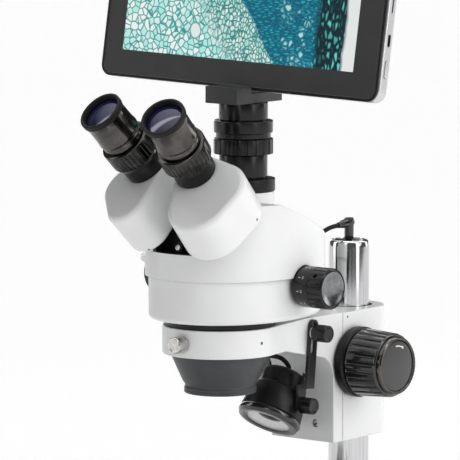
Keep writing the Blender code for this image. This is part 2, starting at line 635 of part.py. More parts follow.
def build_zoom():
    """Zoom shaft with its drum, and a knob on each end."""
    origin = (0, ZOOM_Y, ZOOM_Z)
    shaft = [(0, 80), (4.5, 80), (4.5, 20), (5.8, 20), (5.8, -20), (4.5, -20), (4.5, -80), (0, -80)]
    turned("zoom_shaft", shaft, origin, (1, 0, 0), STEEL, steps=12)
    knob = [(0, 83.6), (13.4, 83.6), (14.9, 82.2), (14.9, 61), (14.0, 55.9), (4.8, 55.9),
            (4.8, 80.4), (0, 80.4)]
    turned("zoom_knob_right", knob, origin, (1, 0, 0), BLACK, steps=20)
    turned("zoom_knob_left", knob, origin, (-1, 0, 0), BLACK, steps=20)


# Eyepiece tubes -------------------------------------------------------------

def tube_axis(side):
    """Direction of an eyepiece's axis, out towards the eye."""
    level = math.cos(CONVERGENCE) * math.sqrt(0.5)
    return Vector((math.sin(CONVERGENCE) * side, -level, level))


def mirrored_point(point, side):
    return Vector((point[0] * side, point[1], point[2]))


def tube_frame(side, word):
    """Empty on a tube housing's turning axis: local Z runs to the eye, local Y up the mount face."""
    axis = tube_axis(side)
    up = Vector((0, math.sqrt(0.5), math.sqrt(0.5)))
    across = up.cross(axis)
    turn = Matrix((across, up, axis)).transposed()
    return pivot(f"tube_{word}_pivot", mirrored_point(TUBE_PIVOT, side), turn.to_euler())


def build_tube(side, word):
    """One side's prism housing with its eye tube, diopter ring and eyepiece."""
    frame = tube_frame(side, word)
    lobes = TUBE_LOBES[side]
    ex, ey = lobes[0][:2]
    wall = 2.5
    outline = hull_of_circles(lobes)
    inner = hull_of_circles([(x, y, radius - wall) for x, y, radius in lobes], 20)
    housing = flat(f"tube_housing_{word}", outline, GAP, TUBE_DEPTH, ENAMEL)
    soften(housing, 2.0)
    hollow = flat(f"tube_hollow_{word}", inner, -5.0, TUBE_DEPTH - 3.0)
    collar = rod(f"eye_tube_{word}", 15.4, (ex, ey, TUBE_DEPTH - 1.5), (ex, ey, EYE_RIM - 50.0), steps=20)
    bore = rod(f"eye_bore_{word}", 12.2, (ex, ey, TUBE_DEPTH - 10.0), (ex, ey, EYE_RIM - 44.0), steps=14)
    cut(housing, hollow)
    join(housing, collar)
    cut(housing, bore)
    rim = EYE_RIM
    grip = [(17.0, rim - 31), (18.6, rim - 32.5), (18.6, rim - 45.5), (16.4, rim - 49.7),
            (12.2, rim - 49.7), (12.2, rim - 31)]
    ring = turned(f"diopter_ring_{word}", grip, (ex, ey, 0), (0, 0, 1), BLACK, steps=20, ring=True)
    body = [(0, rim - 3), (12.9, rim - 3), (14.0, rim), (16.4, rim), (16.4, rim - 3.5), (15.8, rim - 8),
            (15.8, rim - 21), (16.2, rim - 24), (15.7, rim - 25), (15.7, rim - 30.6),
            (11.8, rim - 30.6), (11.8, rim - 60), (0, rim - 60)]
    eyepiece = turned(f"eyepiece_{word}", body, (ex, ey, 0), (0, 0, 1), ANODISED, steps=20)
    mount_inside(frame, housing, hollow, collar, bore, ring, eyepiece)


# Camera port and tablet -----------------------------------------------------

def build_port():
    """Photo tube on the roof, the adapter in it, its focus ring and the camera box."""
    axis = (0, 0, 1)
    origin = (0, PORT_Y, 0)
    tube_profile = [(23, 258.5), (23, 249.3), (22.5, 249.3), (22.5, 212), (14.5, 212), (14.5, 258.5)]
    turned("photo_tube", tube_profile, origin, axis, ENAMEL, steps=20, ring=True)
    barrel = [(17.8, 313.3), (17.8, 300.6), (21.5, 300.2), (21.5, 291.6), (20, 291.2), (20, 287.9),
              (15.6, 287.9), (15.6, 275.5), (17.5, 275.5), (17.5, 258.8), (14.2, 258.8), (14.2, 225),
              (10.5, 225), (10.5, 313.3)]
    turned("c_mount_tube", barrel, origin, axis, BLACK, steps=20, ring=True)
    grip = [(22, 287.3), (22, 276.1), (16, 276.1), (16, 287.3)]
    turned("c_mount_ring", grip, origin, axis, BLACK, steps=20, ring=True)
    front, rear, low = 0.9, 51.9, 313.6
    side_view = [(front, low), (rear, low), (rear, CAMERA_TOP), (CAMERA_STEP, CAMERA_TOP),
                 (CAMERA_STEP, CAMERA_FRONT_TOP), (front, CAMERA_FRONT_TOP)]
    camera = flat("camera_box", side_view, -14.7, 14.7, BLACK, across="X")
    x, y, z = TABLET_PIVOT
    for side in (-1, 1):
        near, far = sorted((8.3 * side, 13.0 * side))
        join(camera, box(f"hinge_post_{side}", (near, y - 3.4, 318), (far, y + 3.4, z)))
        join(camera, rod(f"hinge_eye_{side}", 4.4, (near, y, z), (far, y, z)))
    cut(camera, rod("hinge_bore", 2.1, (-20, y, z), (20, y, z), steps=10))


def build_tablet():
    """Tablet in its hinge's frame: back tray, display glass, side button and hinge leaf."""
    hinge = pivot("tablet_pivot", TABLET_PIVOT, (-TABLET_TILT, 0, 0))
    frame = pivot("tablet_frame", (0, 0, 0), (0, TABLET_ROLL, 0))
    frame.parent = hinge
    left, right = TABLET_SHIFT - TABLET_WIDTH / 2.0, TABLET_SHIFT + TABLET_WIDTH / 2.0
    low, high = TABLET_LOW, TABLET_LOW + TABLET_HEIGHT
    seam = TABLET_FRONT + 1.7
    tray = upright_plate("tablet_back", (left, low), (right, high), 9.0, seam, TABLET_BACK, SILVER)
    wall = 2.0
    pocket = upright_plate("tablet_pocket", (left + wall, low + wall), (right - wall, high - wall), 7.0,
                           seam - 5, TABLET_BACK - 1.6)
    key_low, key_high = 5.5, 18.5
    slot = box("button_slot", (right - 4, -11.6, key_low), (right + 4, -8.4, key_high))
    cut(tray, pocket, slot)
    glass = upright_plate("tablet_front", (left + GAP, low + GAP), (right - GAP, high - GAP), 8.7,
                          TABLET_FRONT, seam - GAP, SCREEN)
    margin = 17.0
    panel = box("display_panel", (left + margin, seam - 1, low + margin),
                (right - margin, seam + 3, high - margin))
    join(glass, panel)
    button = box("tablet_button", (right - 1.4, -11.3, key_low + GAP),
                 (right + 0.7, -8.7, key_high - GAP), BLACK)
    leaf = box("tablet_hinge", (-20, TABLET_BACK + GAP, 6.0), (20, TABLET_BACK + 1.9, 40), BLACK)
    neck = box("hinge_neck", (-7.8, TABLET_BACK + GAP, 0), (7.8, TABLET_BACK + 3.0, 8))
    eye = rod("hinge_knuckle", 4.4, (-7.8, 0, 0), (7.8, 0, 0))
    pin = rod("hinge_pin", 1.8, (-13, 0, 0), (13, 0, 0), steps=10)
    join(leaf, neck, eye, pin)
    mount_inside(frame, tray, pocket, slot, glass, panel, button)
    mount_inside(hinge, leaf, neck, eye, pin)


def upright_plate(name, low, high, radius, near, far, look=None):
    """Round-cornered plate that stands in the XZ plane, between two depths along Y."""
    outline = [(x, -z) for x, z in reversed(rounded(low, high, radius, 3))]
    plate = flat(name, outline, near, far, look)
    plate.location = metres((0, (near + far) / 2.0, 0))
    plate.rotation_euler = (-math.pi / 2.0, 0, 0)
    return plate


build_base()
build_base_fittings()
build_base_controls()
build_pole()
build_clamp()
build_drive()
build_holder()
build_lamp_bracket()
build_lamp()
build_objective()
build_lower_housing()
build_upper_housing()
build_zoom()
build_tube(-1, "left")
build_tube(1, "right")
build_port()
build_tablet()
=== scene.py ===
import json
import math

import bmesh
import bpy
from mathutils import Matrix, Vector

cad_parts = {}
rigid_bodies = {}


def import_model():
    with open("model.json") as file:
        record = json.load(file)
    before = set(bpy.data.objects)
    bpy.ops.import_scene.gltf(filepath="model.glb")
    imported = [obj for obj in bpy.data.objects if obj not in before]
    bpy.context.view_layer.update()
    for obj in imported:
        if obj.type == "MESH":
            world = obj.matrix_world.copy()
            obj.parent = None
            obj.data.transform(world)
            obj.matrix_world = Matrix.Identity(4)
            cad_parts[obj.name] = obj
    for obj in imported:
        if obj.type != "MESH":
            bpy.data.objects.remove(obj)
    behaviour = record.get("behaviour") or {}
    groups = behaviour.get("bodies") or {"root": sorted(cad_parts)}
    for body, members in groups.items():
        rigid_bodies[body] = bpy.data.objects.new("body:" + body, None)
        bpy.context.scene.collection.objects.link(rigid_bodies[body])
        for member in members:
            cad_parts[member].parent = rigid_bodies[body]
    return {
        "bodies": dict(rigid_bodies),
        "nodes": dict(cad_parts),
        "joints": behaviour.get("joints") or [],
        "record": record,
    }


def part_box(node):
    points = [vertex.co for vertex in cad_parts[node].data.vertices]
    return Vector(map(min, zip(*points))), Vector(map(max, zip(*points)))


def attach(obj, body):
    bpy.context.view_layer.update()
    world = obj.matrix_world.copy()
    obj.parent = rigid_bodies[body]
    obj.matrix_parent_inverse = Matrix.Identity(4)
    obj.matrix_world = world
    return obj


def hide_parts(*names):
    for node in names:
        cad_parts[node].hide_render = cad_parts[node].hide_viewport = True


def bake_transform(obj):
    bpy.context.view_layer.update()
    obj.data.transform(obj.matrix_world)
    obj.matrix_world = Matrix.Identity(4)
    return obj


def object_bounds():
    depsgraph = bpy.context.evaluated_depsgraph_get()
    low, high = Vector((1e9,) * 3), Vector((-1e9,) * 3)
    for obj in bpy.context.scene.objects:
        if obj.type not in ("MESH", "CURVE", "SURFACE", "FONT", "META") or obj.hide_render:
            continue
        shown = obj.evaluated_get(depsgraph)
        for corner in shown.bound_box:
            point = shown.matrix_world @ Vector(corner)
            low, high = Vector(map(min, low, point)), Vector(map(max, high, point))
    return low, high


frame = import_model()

CAD_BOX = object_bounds()

# Lengths below are in millimetres; positions come from the frame's boxes and joints.
MM = 0.001
JOINTS = {joint["name"]: joint for joint in frame["joints"]}


def box_mm(node):
    low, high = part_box(node)
    return low / MM, high / MM


def joint_point(name):
    return Vector(JOINTS[name]["pos_m"]) / MM


def joint_axis(name):
    return Vector(JOINTS[name]["axis"]).normalized()


# Materials ------------------------------------------------------------------

class Graph:
    """Small helper around the node tree of a material or of the world."""

    def __init__(self, owner, shader="Principled BSDF", coords="Object"):
        owner.use_nodes = True
        self.owner = owner
        self.tree = owner.node_tree
        self.shader = self.tree.nodes[shader]
        self.coords = self.add("ShaderNodeTexCoord").outputs[coords]

    def add(self, kind, **values):
        node = self.tree.nodes.new(kind)
        for key, value in values.items():
            setattr(node, key, value)
        return node

    def link(self, source, target):
        self.tree.links.new(source, target)

    def feed(self, socket, value):
        """Give a socket a number, a colour or the output of another node."""
        if isinstance(value, bpy.types.NodeSocket):
            self.link(value, socket)
        elif isinstance(value, tuple) and socket.type == "RGBA":
            socket.default_value = (*value, 1.0)
        else:
            socket.default_value = value

    def set(self, name, value):
        self.feed(self.shader.inputs[name], value)

    def stretch(self, scale, source=None):
        """Coordinates scaled by three factors, to stretch a texture along an axis."""
        node = self.add("ShaderNodeMapping")
        node.inputs["Scale"].default_value = scale
        self.link(source or self.coords, node.inputs["Vector"])
        return node.outputs["Vector"]

    def noise(self, scale, detail=3.0, roughness=0.5, source=None):
        node = self.add("ShaderNodeTexNoise")
        node.inputs["Scale"].default_value = scale
        node.inputs["Detail"].default_value = detail
        node.inputs["Roughness"].default_value = roughness
        self.link(source or self.coords, node.inputs["Vector"])
        return node.outputs["Fac"]

    def span(self, source, start, end, low=0.0, high=1.0):
        """Map a value from start..end to low..high."""
        node = self.add("ShaderNodeMapRange")
        self.link(source, node.inputs["Value"])
        for key, value in (("From Min", start), ("From Max", end), ("To Min", low), ("To Max", high)):
            node.inputs[key].default_value = value
        return node.outputs["Result"]

    def maths(self, operation, *values):
        node = self.add("ShaderNodeMath", operation=operation)
        for socket, value in zip(node.inputs, values):
            self.feed(socket, value)
        return node.outputs[0]

    def vector(self, operation, first, second):
        """Vector maths node; returns the node, whose outputs are Vector and Value."""
        node = self.add("ShaderNodeVectorMath", operation=operation)
        self.feed(node.inputs[0], first)
        self.feed(node.inputs[1], second)
        return node

    def mix(self, factor, first, second):
        """Blend two colours, each a tuple or a socket."""
        node = self.add("ShaderNodeMix", data_type="RGBA")
        self.feed(node.inputs[0], factor)
        self.feed(node.inputs[6], first)
        self.feed(node.inputs[7], second)
        return node.outputs[2]

    def cells(self, scale, source=None, feature="F1"):
        """Voronoi cells of a scale."""
        node = self.add("ShaderNodeTexVoronoi", feature=feature)
        node.inputs["Scale"].default_value = scale
        self.link(source or self.coords, node.inputs["Vector"])
        return node

    def bump(self, height, strength, distance_mm):
        node = self.add("ShaderNodeBump")
        node.inputs["Strength"].default_value = strength
        node.inputs["Distance"].default_value = distance_mm * MM
        self.link(height, node.inputs["Height"])
        self.link(node.outputs["Normal"], self.shader.inputs["Normal"])


def surface(name, dark, light, roughness, grain, depth, metallic=0.0, coat=0.0, strength=0.4, shine=0.5):
    """Painted or moulded finish: colour drifts between two tones, with a fine grain in the relief."""
    g = Graph(bpy.data.materials.new(name))
    drift = g.span(g.noise(45.0, 4.0), 0.3, 0.7)
    g.set("Base Color", g.mix(drift, dark, light))
    rub = g.span(g.noise(260.0, 5.0, 0.6), 0.3, 0.7, *roughness)
    g.set("Roughness", rub)
    g.set("Metallic", metallic)
    g.set("Specular IOR Level", shine)
    g.set("Coat Weight", coat)
    g.set("Coat Roughness", 0.12)
    g.bump(g.noise(grain, 2.0), strength, depth)
    return g.owner


def brushed(name, dark, light, roughness, scale):
    """Turned or drawn metal: fine lines across the stretched direction."""
    g = Graph(bpy.data.materials.new(name))
    lines = g.noise(1.0, 6.0, 0.7, g.stretch(scale))
    g.set("Base Color", g.mix(g.span(lines, 0.35, 0.65), dark, light))
    g.set("Roughness", g.span(lines, 0.3, 0.7, *roughness))
    g.set("Metallic", 1.0)
    g.bump(lines, 0.12, 0.02)
    return g.owner


def enamel():
    """White powder coat: faint orange peel, with painted shade that greys it where corners meet."""
    g = Graph(bpy.data.materials.new("enamel"))
    # Painted shade: ambient occlusion within 6 mm greys the white in corners and recesses.
    hollow = g.add("ShaderNodeAmbientOcclusion", samples=8)
    hollow.inputs["Distance"].default_value = 0.006
    tone = g.mix(g.span(g.noise(30.0, 3.0), 0.3, 0.7), (0.80, 0.805, 0.80), (0.84, 0.845, 0.845))
    shade = g.span(hollow.outputs["AO"], 0.35, 0.8)
    g.set("Base Color", g.mix(shade, (0.45, 0.45, 0.45), tone))
    g.set("Roughness", g.span(g.noise(300.0, 4.0), 0.3, 0.7, 0.3, 0.42))
    g.set("Coat Weight", 0.15)
    g.set("Coat Roughness", 0.25)
    g.bump(g.noise(900.0, 2.0), 0.12, 0.05)
    return g.owner


def lens_coating(name, centre, rim):
    """Coated glass: a dark pool with violet and blue reflections that shift with the angle."""
    g = Graph(bpy.data.materials.new(name))
    facing = g.add("ShaderNodeLayerWeight")
    facing.inputs["Blend"].default_value = 0.35
    swirl = g.span(g.noise(60.0, 2.0), 0.3, 0.7, 0.0, 0.35)
    factor = g.maths("ADD", facing.outputs["Facing"], swirl)
    g.set("Base Color", g.mix(factor, centre, rim))
    g.set("Metallic", 0.35)
    g.set("Roughness", 0.06)
    g.set("Coat Weight", 1.0)
    g.set("Coat Roughness", 0.02)
    g.bump(g.noise(8.0, 1.0), 0.05, 0.3)
    return g.owner


def glow(name, inner, outer, strength, cells):
    """Glowing surface with a fine cell pattern: a phosphor, a reflector or a diffuser; on a reflector the
    glow is painted light.
    """
    g = Graph(bpy.data.materials.new(name))
    dots = g.cells(cells)
    colour = g.mix(g.span(dots.outputs["Distance"], 0.1, 0.6), inner, outer)
    g.set("Base Color", colour)
    g.set("Emission Color", colour)
    g.set("Emission Strength", strength)
    g.set("Roughness", 0.35)
    g.bump(dots.outputs["Distance"], 0.3, 0.1)
    return g.owner


def frosted():
    g = Graph(bpy.data.materials.new("frosted_glass"))
    mist = g.span(g.noise(180.0, 5.0), 0.3, 0.7)
    g.set("Base Color", g.mix(mist, (0.72, 0.76, 0.76), (0.82, 0.85, 0.85)))
    g.set("Roughness", g.span(mist, 0.0, 1.0, 0.4, 0.55))
    g.set("Transmission Weight", 0.2)
    g.set("Coat Weight", 0.3)
    g.bump(g.noise(2500.0, 2.0), 0.15, 0.02)
    return g.owner


def tissue():
    """Display showing a stained plant section: pale cells, a fibrous blue band, then bare glass."""
    g = Graph(bpy.data.materials.new("display_picture"), coords="UV")
    warp = g.add("ShaderNodeTexNoise")
    warp.inputs["Scale"].default_value = 5.0
    g.link(g.coords, warp.inputs["Vector"])
    shift = g.add("ShaderNodeVectorMath", operation="SCALE")
    g.link(warp.outputs["Color"], shift.inputs[0])
    shift.inputs["Scale"].default_value = 0.05
    bent = g.vector("ADD", g.coords, shift.outputs[0]).outputs[0]
    split = g.add("ShaderNodeSeparateXYZ")
    g.link(bent, split.inputs[0])
    along = split.outputs["X"]
    slanted = g.maths("ADD", along, g.maths("MULTIPLY", split.outputs["Y"], 0.8))

    def zone(scale, stretch, wall, wall_colour, first, second):
        """Cells between two colours behind darker walls."""
        place = g.stretch(stretch, bent)
        edge = g.cells(scale, place, "DISTANCE_TO_EDGE").outputs["Distance"]
        grey = g.add("ShaderNodeRGBToBW")
        g.link(g.cells(scale, place).outputs["Color"], grey.inputs[0])
        inside = g.mix(g.span(grey.outputs[0], 0.25, 0.75), first, second)
        return g.mix(g.span(edge, wall * 0.35, wall), wall_colour, inside)

    big = zone(29.0, (1, 1, 1), 0.12, (0.04, 0.36, 0.34), (0.5, 0.9, 0.84), (0.95, 1.0, 0.99))
    small = zone(48.0, (1.0, 0.75, 1), 0.17, (0.04, 0.27, 0.26), (0.42, 0.78, 0.71), (0.82, 0.94, 0.9))
    fibre = zone(60.0, (0.4, 1.3, 1), 0.3, (0.0, 0.12, 0.2), (0.0, 0.28, 0.38), (0.02, 0.47, 0.55))
    bark = zone(30.0, (1.5, 0.6, 1), 0.35, (0.0, 0.02, 0.03), (0.0, 0.09, 0.1), (0.15, 0.75, 0.7))
    edge = g.cells(30.0, g.stretch((1, 1, 1), bent), "DISTANCE_TO_EDGE").outputs["Distance"]
    vessel = g.mix(g.span(edge, 0.105, 0.3), (0.0, 0.2, 0.3), (0.5, 0.85, 0.85))
    patch = g.maths("MULTIPLY", g.span(g.noise(14.0, 3.0, 0.6, bent), 0.5, 0.62),
                    g.span(along, 1.08, 1.14))
    picture = g.mix(g.span(slanted, 0.74, 0.84), big, small)
    picture = g.mix(g.span(slanted, 1.09, 1.11), picture, g.mix(patch, fibre, vessel))
    picture = g.mix(g.span(along, 1.33, 1.37), picture, bark)
    picture = g.mix(g.span(along, 1.53, 1.55), picture, (0.87, 0.91, 0.9))
    for x, y, size in ((0.52, 0.17, 0.045), (0.60, 0.30, 0.025), (0.60, 0.43, 0.03), (0.3, 0.7, 0.04)):
        away = g.vector("DISTANCE", bent, (x, y, 0.0)).outputs["Value"]
        picture = g.mix(g.span(away, size, size * 1.12, 1.0, 0.0), picture, (0.03, 0.3, 0.28))
        picture = g.mix(g.span(away, size * 0.85, size, 1.0, 0.0), picture, (0.86, 0.93, 0.92))
    g.set("Emission Color", picture)
    g.set("Emission Strength", 0.85)
    g.set("Base Color", (0.01, 0.01, 0.01))
    g.set("Roughness", 0.15)
    return g.owner


WHITE = enamel()
BLACK = surface("black_plastic", (0.005, 0.005, 0.006), (0.01, 0.01, 0.011), (0.28, 0.4), 1500.0, 0.05,
                shine=0.25)
GRIP = surface("black_grip", (0.004, 0.004, 0.005), (0.008, 0.008, 0.009), (0.18, 0.28), 1200.0, 0.05,
               shine=0.4)
GLOSS = surface("black_gloss", (0.006, 0.006, 0.007), (0.012, 0.012, 0.013), (0.1, 0.16), 400.0, 0.01,
                coat=0.6)
DARK = surface("dark_anodised", (0.022, 0.022, 0.024), (0.04, 0.04, 0.043), (0.26, 0.38), 1800.0, 0.03,
               metallic=0.55)
BARREL = brushed("barrel_anodised", (0.06, 0.057, 0.055), (0.14, 0.13, 0.118), (0.13, 0.2),
                 (25.0, 25.0, 25.0))
NOSE = surface("grey_nose", (0.034, 0.035, 0.038), (0.05, 0.052, 0.056), (0.42, 0.55), 1600.0, 0.06)
STEEL = brushed("polished_steel", (0.50, 0.50, 0.51), (0.70, 0.70, 0.71), (0.06, 0.14), (600.0, 600.0, 8.0))
NICKEL = brushed("turned_nickel", (0.5, 0.49, 0.47), (0.72, 0.71, 0.69), (0.18, 0.3), (700.0, 700.0, 700.0))
RUBBER = surface("rubber", (0.005, 0.005, 0.005), (0.012, 0.011, 0.011), (0.5, 0.65), 2200.0, 0.08,
                 shine=0.25)
SILVER = brushed("silver_case", (0.6, 0.6, 0.61), (0.7, 0.7, 0.71), (0.28, 0.36), (1600.0, 1600.0, 1600.0))
MARK = surface("white_mark", (0.7, 0.7, 0.7), (0.82, 0.82, 0.82), (0.5, 0.6), 1500.0, 0.01)
BOARD = surface("circuit_board", (0.01, 0.1, 0.04), (0.03, 0.19, 0.08), (0.35, 0.5), 900.0, 0.1)
CHARCOAL = surface("charcoal_bezel", (0.014, 0.014, 0.015), (0.02, 0.02, 0.021), (0.4, 0.5), 1800.0, 0.02)
CASE = surface("camera_case", (0.024, 0.024, 0.026), (0.038, 0.038, 0.04), (0.4, 0.52), 1500.0, 0.05)
SATIN = surface("satin_black", (0.012, 0.012, 0.013), (0.022, 0.022, 0.024), (0.16, 0.24), 900.0, 0.02,
                metallic=0.6)
GRIP_METAL = brushed("knurled_anodised", (0.03, 0.03, 0.03), (0.10, 0.096, 0.09), (0.14, 0.22),
                     (30.0, 30.0, 30.0))
DISH = brushed("dished_face", (0.16, 0.165, 0.17), (0.26, 0.265, 0.275), (0.16, 0.26), (200.0, 200.0, 200.0))
GLASS = lens_coating("eye_lens", (0.001, 0.001, 0.012), (0.03, 0.03, 0.16))
FRONT_GLASS = lens_coating("front_lens", (0.01, 0.02, 0.02), (0.2, 0.35, 0.3))
LAMP_GLASS = glow("lamp_reflector", (0.9, 0.9, 0.88), (0.8, 0.8, 0.79), 0.12, 500.0)
PHOSPHOR = glow("lamp_phosphor", (1.0, 0.85, 0.35), (0.95, 0.7, 0.2), 0.3, 900.0)
FROST = frosted()
PICTURE = tissue()


# Mesh building --------------------------------------------------------------

shift = Matrix.Translation


def spin(degrees, axis):
    return Matrix.Rotation(math.radians(degrees), 4, axis)


def at(origin, axis=(0, 0, 1)):
    """Placement in millimetres: local Z along an axis through origin, with local Y as high as it goes."""
    rotation = Vector(axis).normalized().to_track_quat("Z", "Y").to_matrix().to_4x4()
    return Matrix.Scale(MM, 4) @ shift(Vector(origin)) @ rotation


WORLD = Matrix.Scale(MM, 4)
SIDES = ((-1, "left"), (1, "right"))


def relax(points, radius, ring=False, arcs=3):
    """Round the corners of a profile, so that every turned edge catches light."""
    count = len(points)
    result = []
    for i, here in enumerate(points):
        inside = ring or 0 < i < count - 1
        here = Vector(here)
        before = Vector(points[i - 1])
        after = Vector(points[(i + 1) % count])
        a, b = before - here, after - here
        if not inside or a.length < 1e-6 or b.length < 1e-6 or a.angle(b) > math.radians(155):
            result.append(tuple(here))
            continue
        reach = min(radius, a.length * 0.4, b.length * 0.4)
        start, end = here + a.normalized() * reach, here + b.normalized() * reach
        for k in range(arcs + 1):
            t = k / arcs
            point = start * (1 - t) ** 2 + here * 2 * t * (1 - t) + end * t * t
            result.append(tuple(point))
    return result


def add_object(data, name="part"):
    obj = bpy.data.objects.new(name, data)
    bpy.context.scene.collection.objects.link(obj)
    return obj


def to_object(bm, outwards=True):
    if outwards:
        bmesh.ops.recalc_face_normals(bm, faces=bm.faces)
    mesh = bpy.data.meshes.new("part")
    bm.to_mesh(mesh)
    bm.free()
    return add_object(mesh)


def lathe(profile, where=WORLD, steps=96, ring=False, corner=0.4, radial=None):
    """Turn a (radius, height) profile; radial(angle, radius, height) adds flutes or lobes."""
    bm = bmesh.new()
    rows = []
    for radius, height in relax(profile, corner, ring):
        if radius < 1e-6:
            rows.append([bm.verts.new(where @ Vector((0, 0, height)))])
            continue
        row = []
        for i in range(steps):
            angle = 2.0 * math.pi * i / steps
            r = radius + (radial(angle, radius, height) if radial else 0.0)
            row.append(bm.verts.new(where @ Vector((r * math.cos(angle), r * math.sin(angle), height))))
        rows.append(row)
    pairs = list(zip(rows, rows[1:]))
    if ring:
        pairs.append((rows[-1], rows[0]))
    for a, b in pairs:
        for i in range(steps):
            j = (i + 1) % steps
            corners = (a[i % len(a)], b[i % len(b)], b[j % len(b)], a[j % len(a)])
            unique = list(dict.fromkeys(corners))
            if len(unique) > 2:
                bm.faces.new(unique)
    return to_object(bm)


def flutes(count, depth, low, high, width=0.35, inner=0.0):
    """Grooves cut along the axis between two heights, on radii above an inner limit."""
    def radial(angle, radius, height):
        if not low <= height <= high or radius < inner:
            return 0.0
        phase = (angle * count / (2.0 * math.pi)) % 1.0
        edge = abs(phase - 0.5) * 2.0
        return -depth * min(1.0, max(0.0, (width - edge) / 0.12 + 0.5))
    return radial


def prism(outline, low, high, across="Z", where=WORLD):
    """Solid between two levels: outline points are (x, y) across Z, (y, z) across X, (x, z) across Y."""
    order = {"Z": lambda u, v, w: (u, v, w), "X": lambda u, v, w: (w, u, v), "Y": lambda u, v,
             w: (u, w, v)}[across]
    bm = bmesh.new()
    bottom = [bm.verts.new(where @ Vector(order(u, v, low))) for u, v in outline]
    top = [bm.verts.new(where @ Vector(order(u, v, high))) for u, v in outline]
    bm.faces.new(bottom)
    bm.faces.new(reversed(top))
    for i in range(len(outline)):
        j = (i + 1) % len(outline)
        bm.faces.new((bottom[i], top[i], top[j], bottom[j]))
    return to_object(bm)


def block(low, high, where=WORLD):
    bm = bmesh.new()
    size = [b - a for a, b in zip(low, high)]
    centre = Vector([(a + b) / 2.0 for a, b in zip(low, high)])
    matrix = where @ shift(centre) @ Matrix.Diagonal((*size, 1.0))
    bmesh.ops.create_cube(bm, size=1.0, matrix=matrix)
    return to_object(bm)


def stick(radius, start, end, where=WORLD, steps=48):
    """Plain cylinder between two points, for joins and cuts."""
    axis = Vector(end) - Vector(start)
    turn = axis.normalized().to_track_quat("Z", "Y").to_matrix().to_4x4()
    profile = [(0, 0), (radius, 0), (radius, axis.length), (0, axis.length)]
    return lathe(profile, where @ shift(Vector(start)) @ turn, steps, corner=0.0)


def half_space(point, normal, size=400.0):
    bm = bmesh.new()
    lift = shift((0, 0, size / 2.0))
    bmesh.ops.create_cube(bm, size=size, matrix=at(point, normal) @ lift)
    return to_object(bm)


def sweep(path, radius, sides=14):
    """Round tube along points, with closed ends."""
    bm = bmesh.new()
    rows = []
    side = Vector((1, 0, 0))
    for i, point in enumerate(path):
        ahead = Vector(path[min(i + 1, len(path) - 1)]) - Vector(path[max(i - 1, 0)])
        ahead.normalize()
        side = (side - ahead * side.dot(ahead)).normalized()
        up = ahead.cross(side)
        row = []
        for k in range(sides):
            angle = 2.0 * math.pi * k / sides
            offset = side * math.cos(angle) + up * math.sin(angle)
            row.append(bm.verts.new((Vector(point) + offset * radius) * MM))
        rows.append(row)
    for a, b in zip(rows, rows[1:]):
        for k in range(sides):
            j = (k + 1) % sides
            bm.faces.new((a[k], b[k], b[j], a[j]))
    bm.faces.new(rows[0])
    bm.faces.new(reversed(rows[-1]))
    return to_object(bm)


def bake(obj):
    """Apply an object's modifiers."""
    graph = bpy.context.evaluated_depsgraph_get()
    mesh = bpy.data.meshes.new_from_object(obj.evaluated_get(graph))
    obj.modifiers.clear()
    obj.data = mesh


def boolean(obj, operation, tools):
    for tool in tools:
        step = obj.modifiers.new("boolean", "BOOLEAN")
        step.operation = operation
        step.solver = "EXACT"
        step.object = tool
    bake(obj)
    for tool in tools:
        bpy.data.objects.remove(tool, do_unlink=True)
    return obj


def cut(obj, *tools):
    return boolean(obj, "DIFFERENCE", tools)


def join(obj, *tools):
    return boolean(obj, "UNION", tools)


def soften(obj, width, segments=4, angle=30.0):
    bevel = obj.modifiers.new("bevel", "BEVEL")
    bevel.width = width * MM
    bevel.segments = segments
    bevel.limit_method = "ANGLE"
    bevel.angle_limit = math.radians(angle)
    bake(obj)
    return obj


def drop_slivers(obj, distance):
    """Merge corners closer than a distance in mm, so that a bevel keeps its full width."""
    bm = bmesh.new()
    bm.from_mesh(obj.data)
    bmesh.ops.remove_doubles(bm, verts=bm.verts, dist=distance * MM)
    bmesh.ops.dissolve_limit(bm, angle_limit=math.radians(0.3), verts=bm.verts, edges=bm.edges)
    bm.to_mesh(obj.data)
    bm.free()


def dress(obj, name, look, body, *replaced, slot=None, sharp=34.0, weighted=False):
    """Name, shade and paint a finished shape, and let it ride on its body."""
    obj.name = name
    obj.data.name = name
    obj.data.materials.clear()
    obj.data.materials.append(look)
    obj.data.shade_smooth()
    obj.data.set_sharp_from_angle(angle=math.radians(sharp))
    if weighted:
        normals = obj.modifiers.new("normals", "WEIGHTED_NORMAL")
        normals.keep_sharp = True
    if replaced:
        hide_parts(*replaced)
    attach(obj, body)
    return obj


def arc(centre, radius, start, end, count):
    points = []
    for i in range(count + 1):
        angle = math.radians(start + (end - start) * i / count)
        points.append((centre[0] + radius * math.cos(angle), centre[1] + radius * math.sin(angle)))
    return points


def rounded(low, high, radius, count=12):
    """Rectangle with round corners, anticlockwise."""
    left, bottom, right, top = low[0] + radius, low[1] + radius, high[0] - radius, high[1] - radius
    points = []
    for i, centre in enumerate(((right, top), (left, top), (left, bottom), (right, bottom))):
        points += arc(centre, radius, 90 * i, 90 * i + 90, count)
    return points


# Stand ----------------------------------------------------------------------

POLE_Y = joint_point("pole_swivel").y
POLE_AXIS = shift((0, POLE_Y, 0))


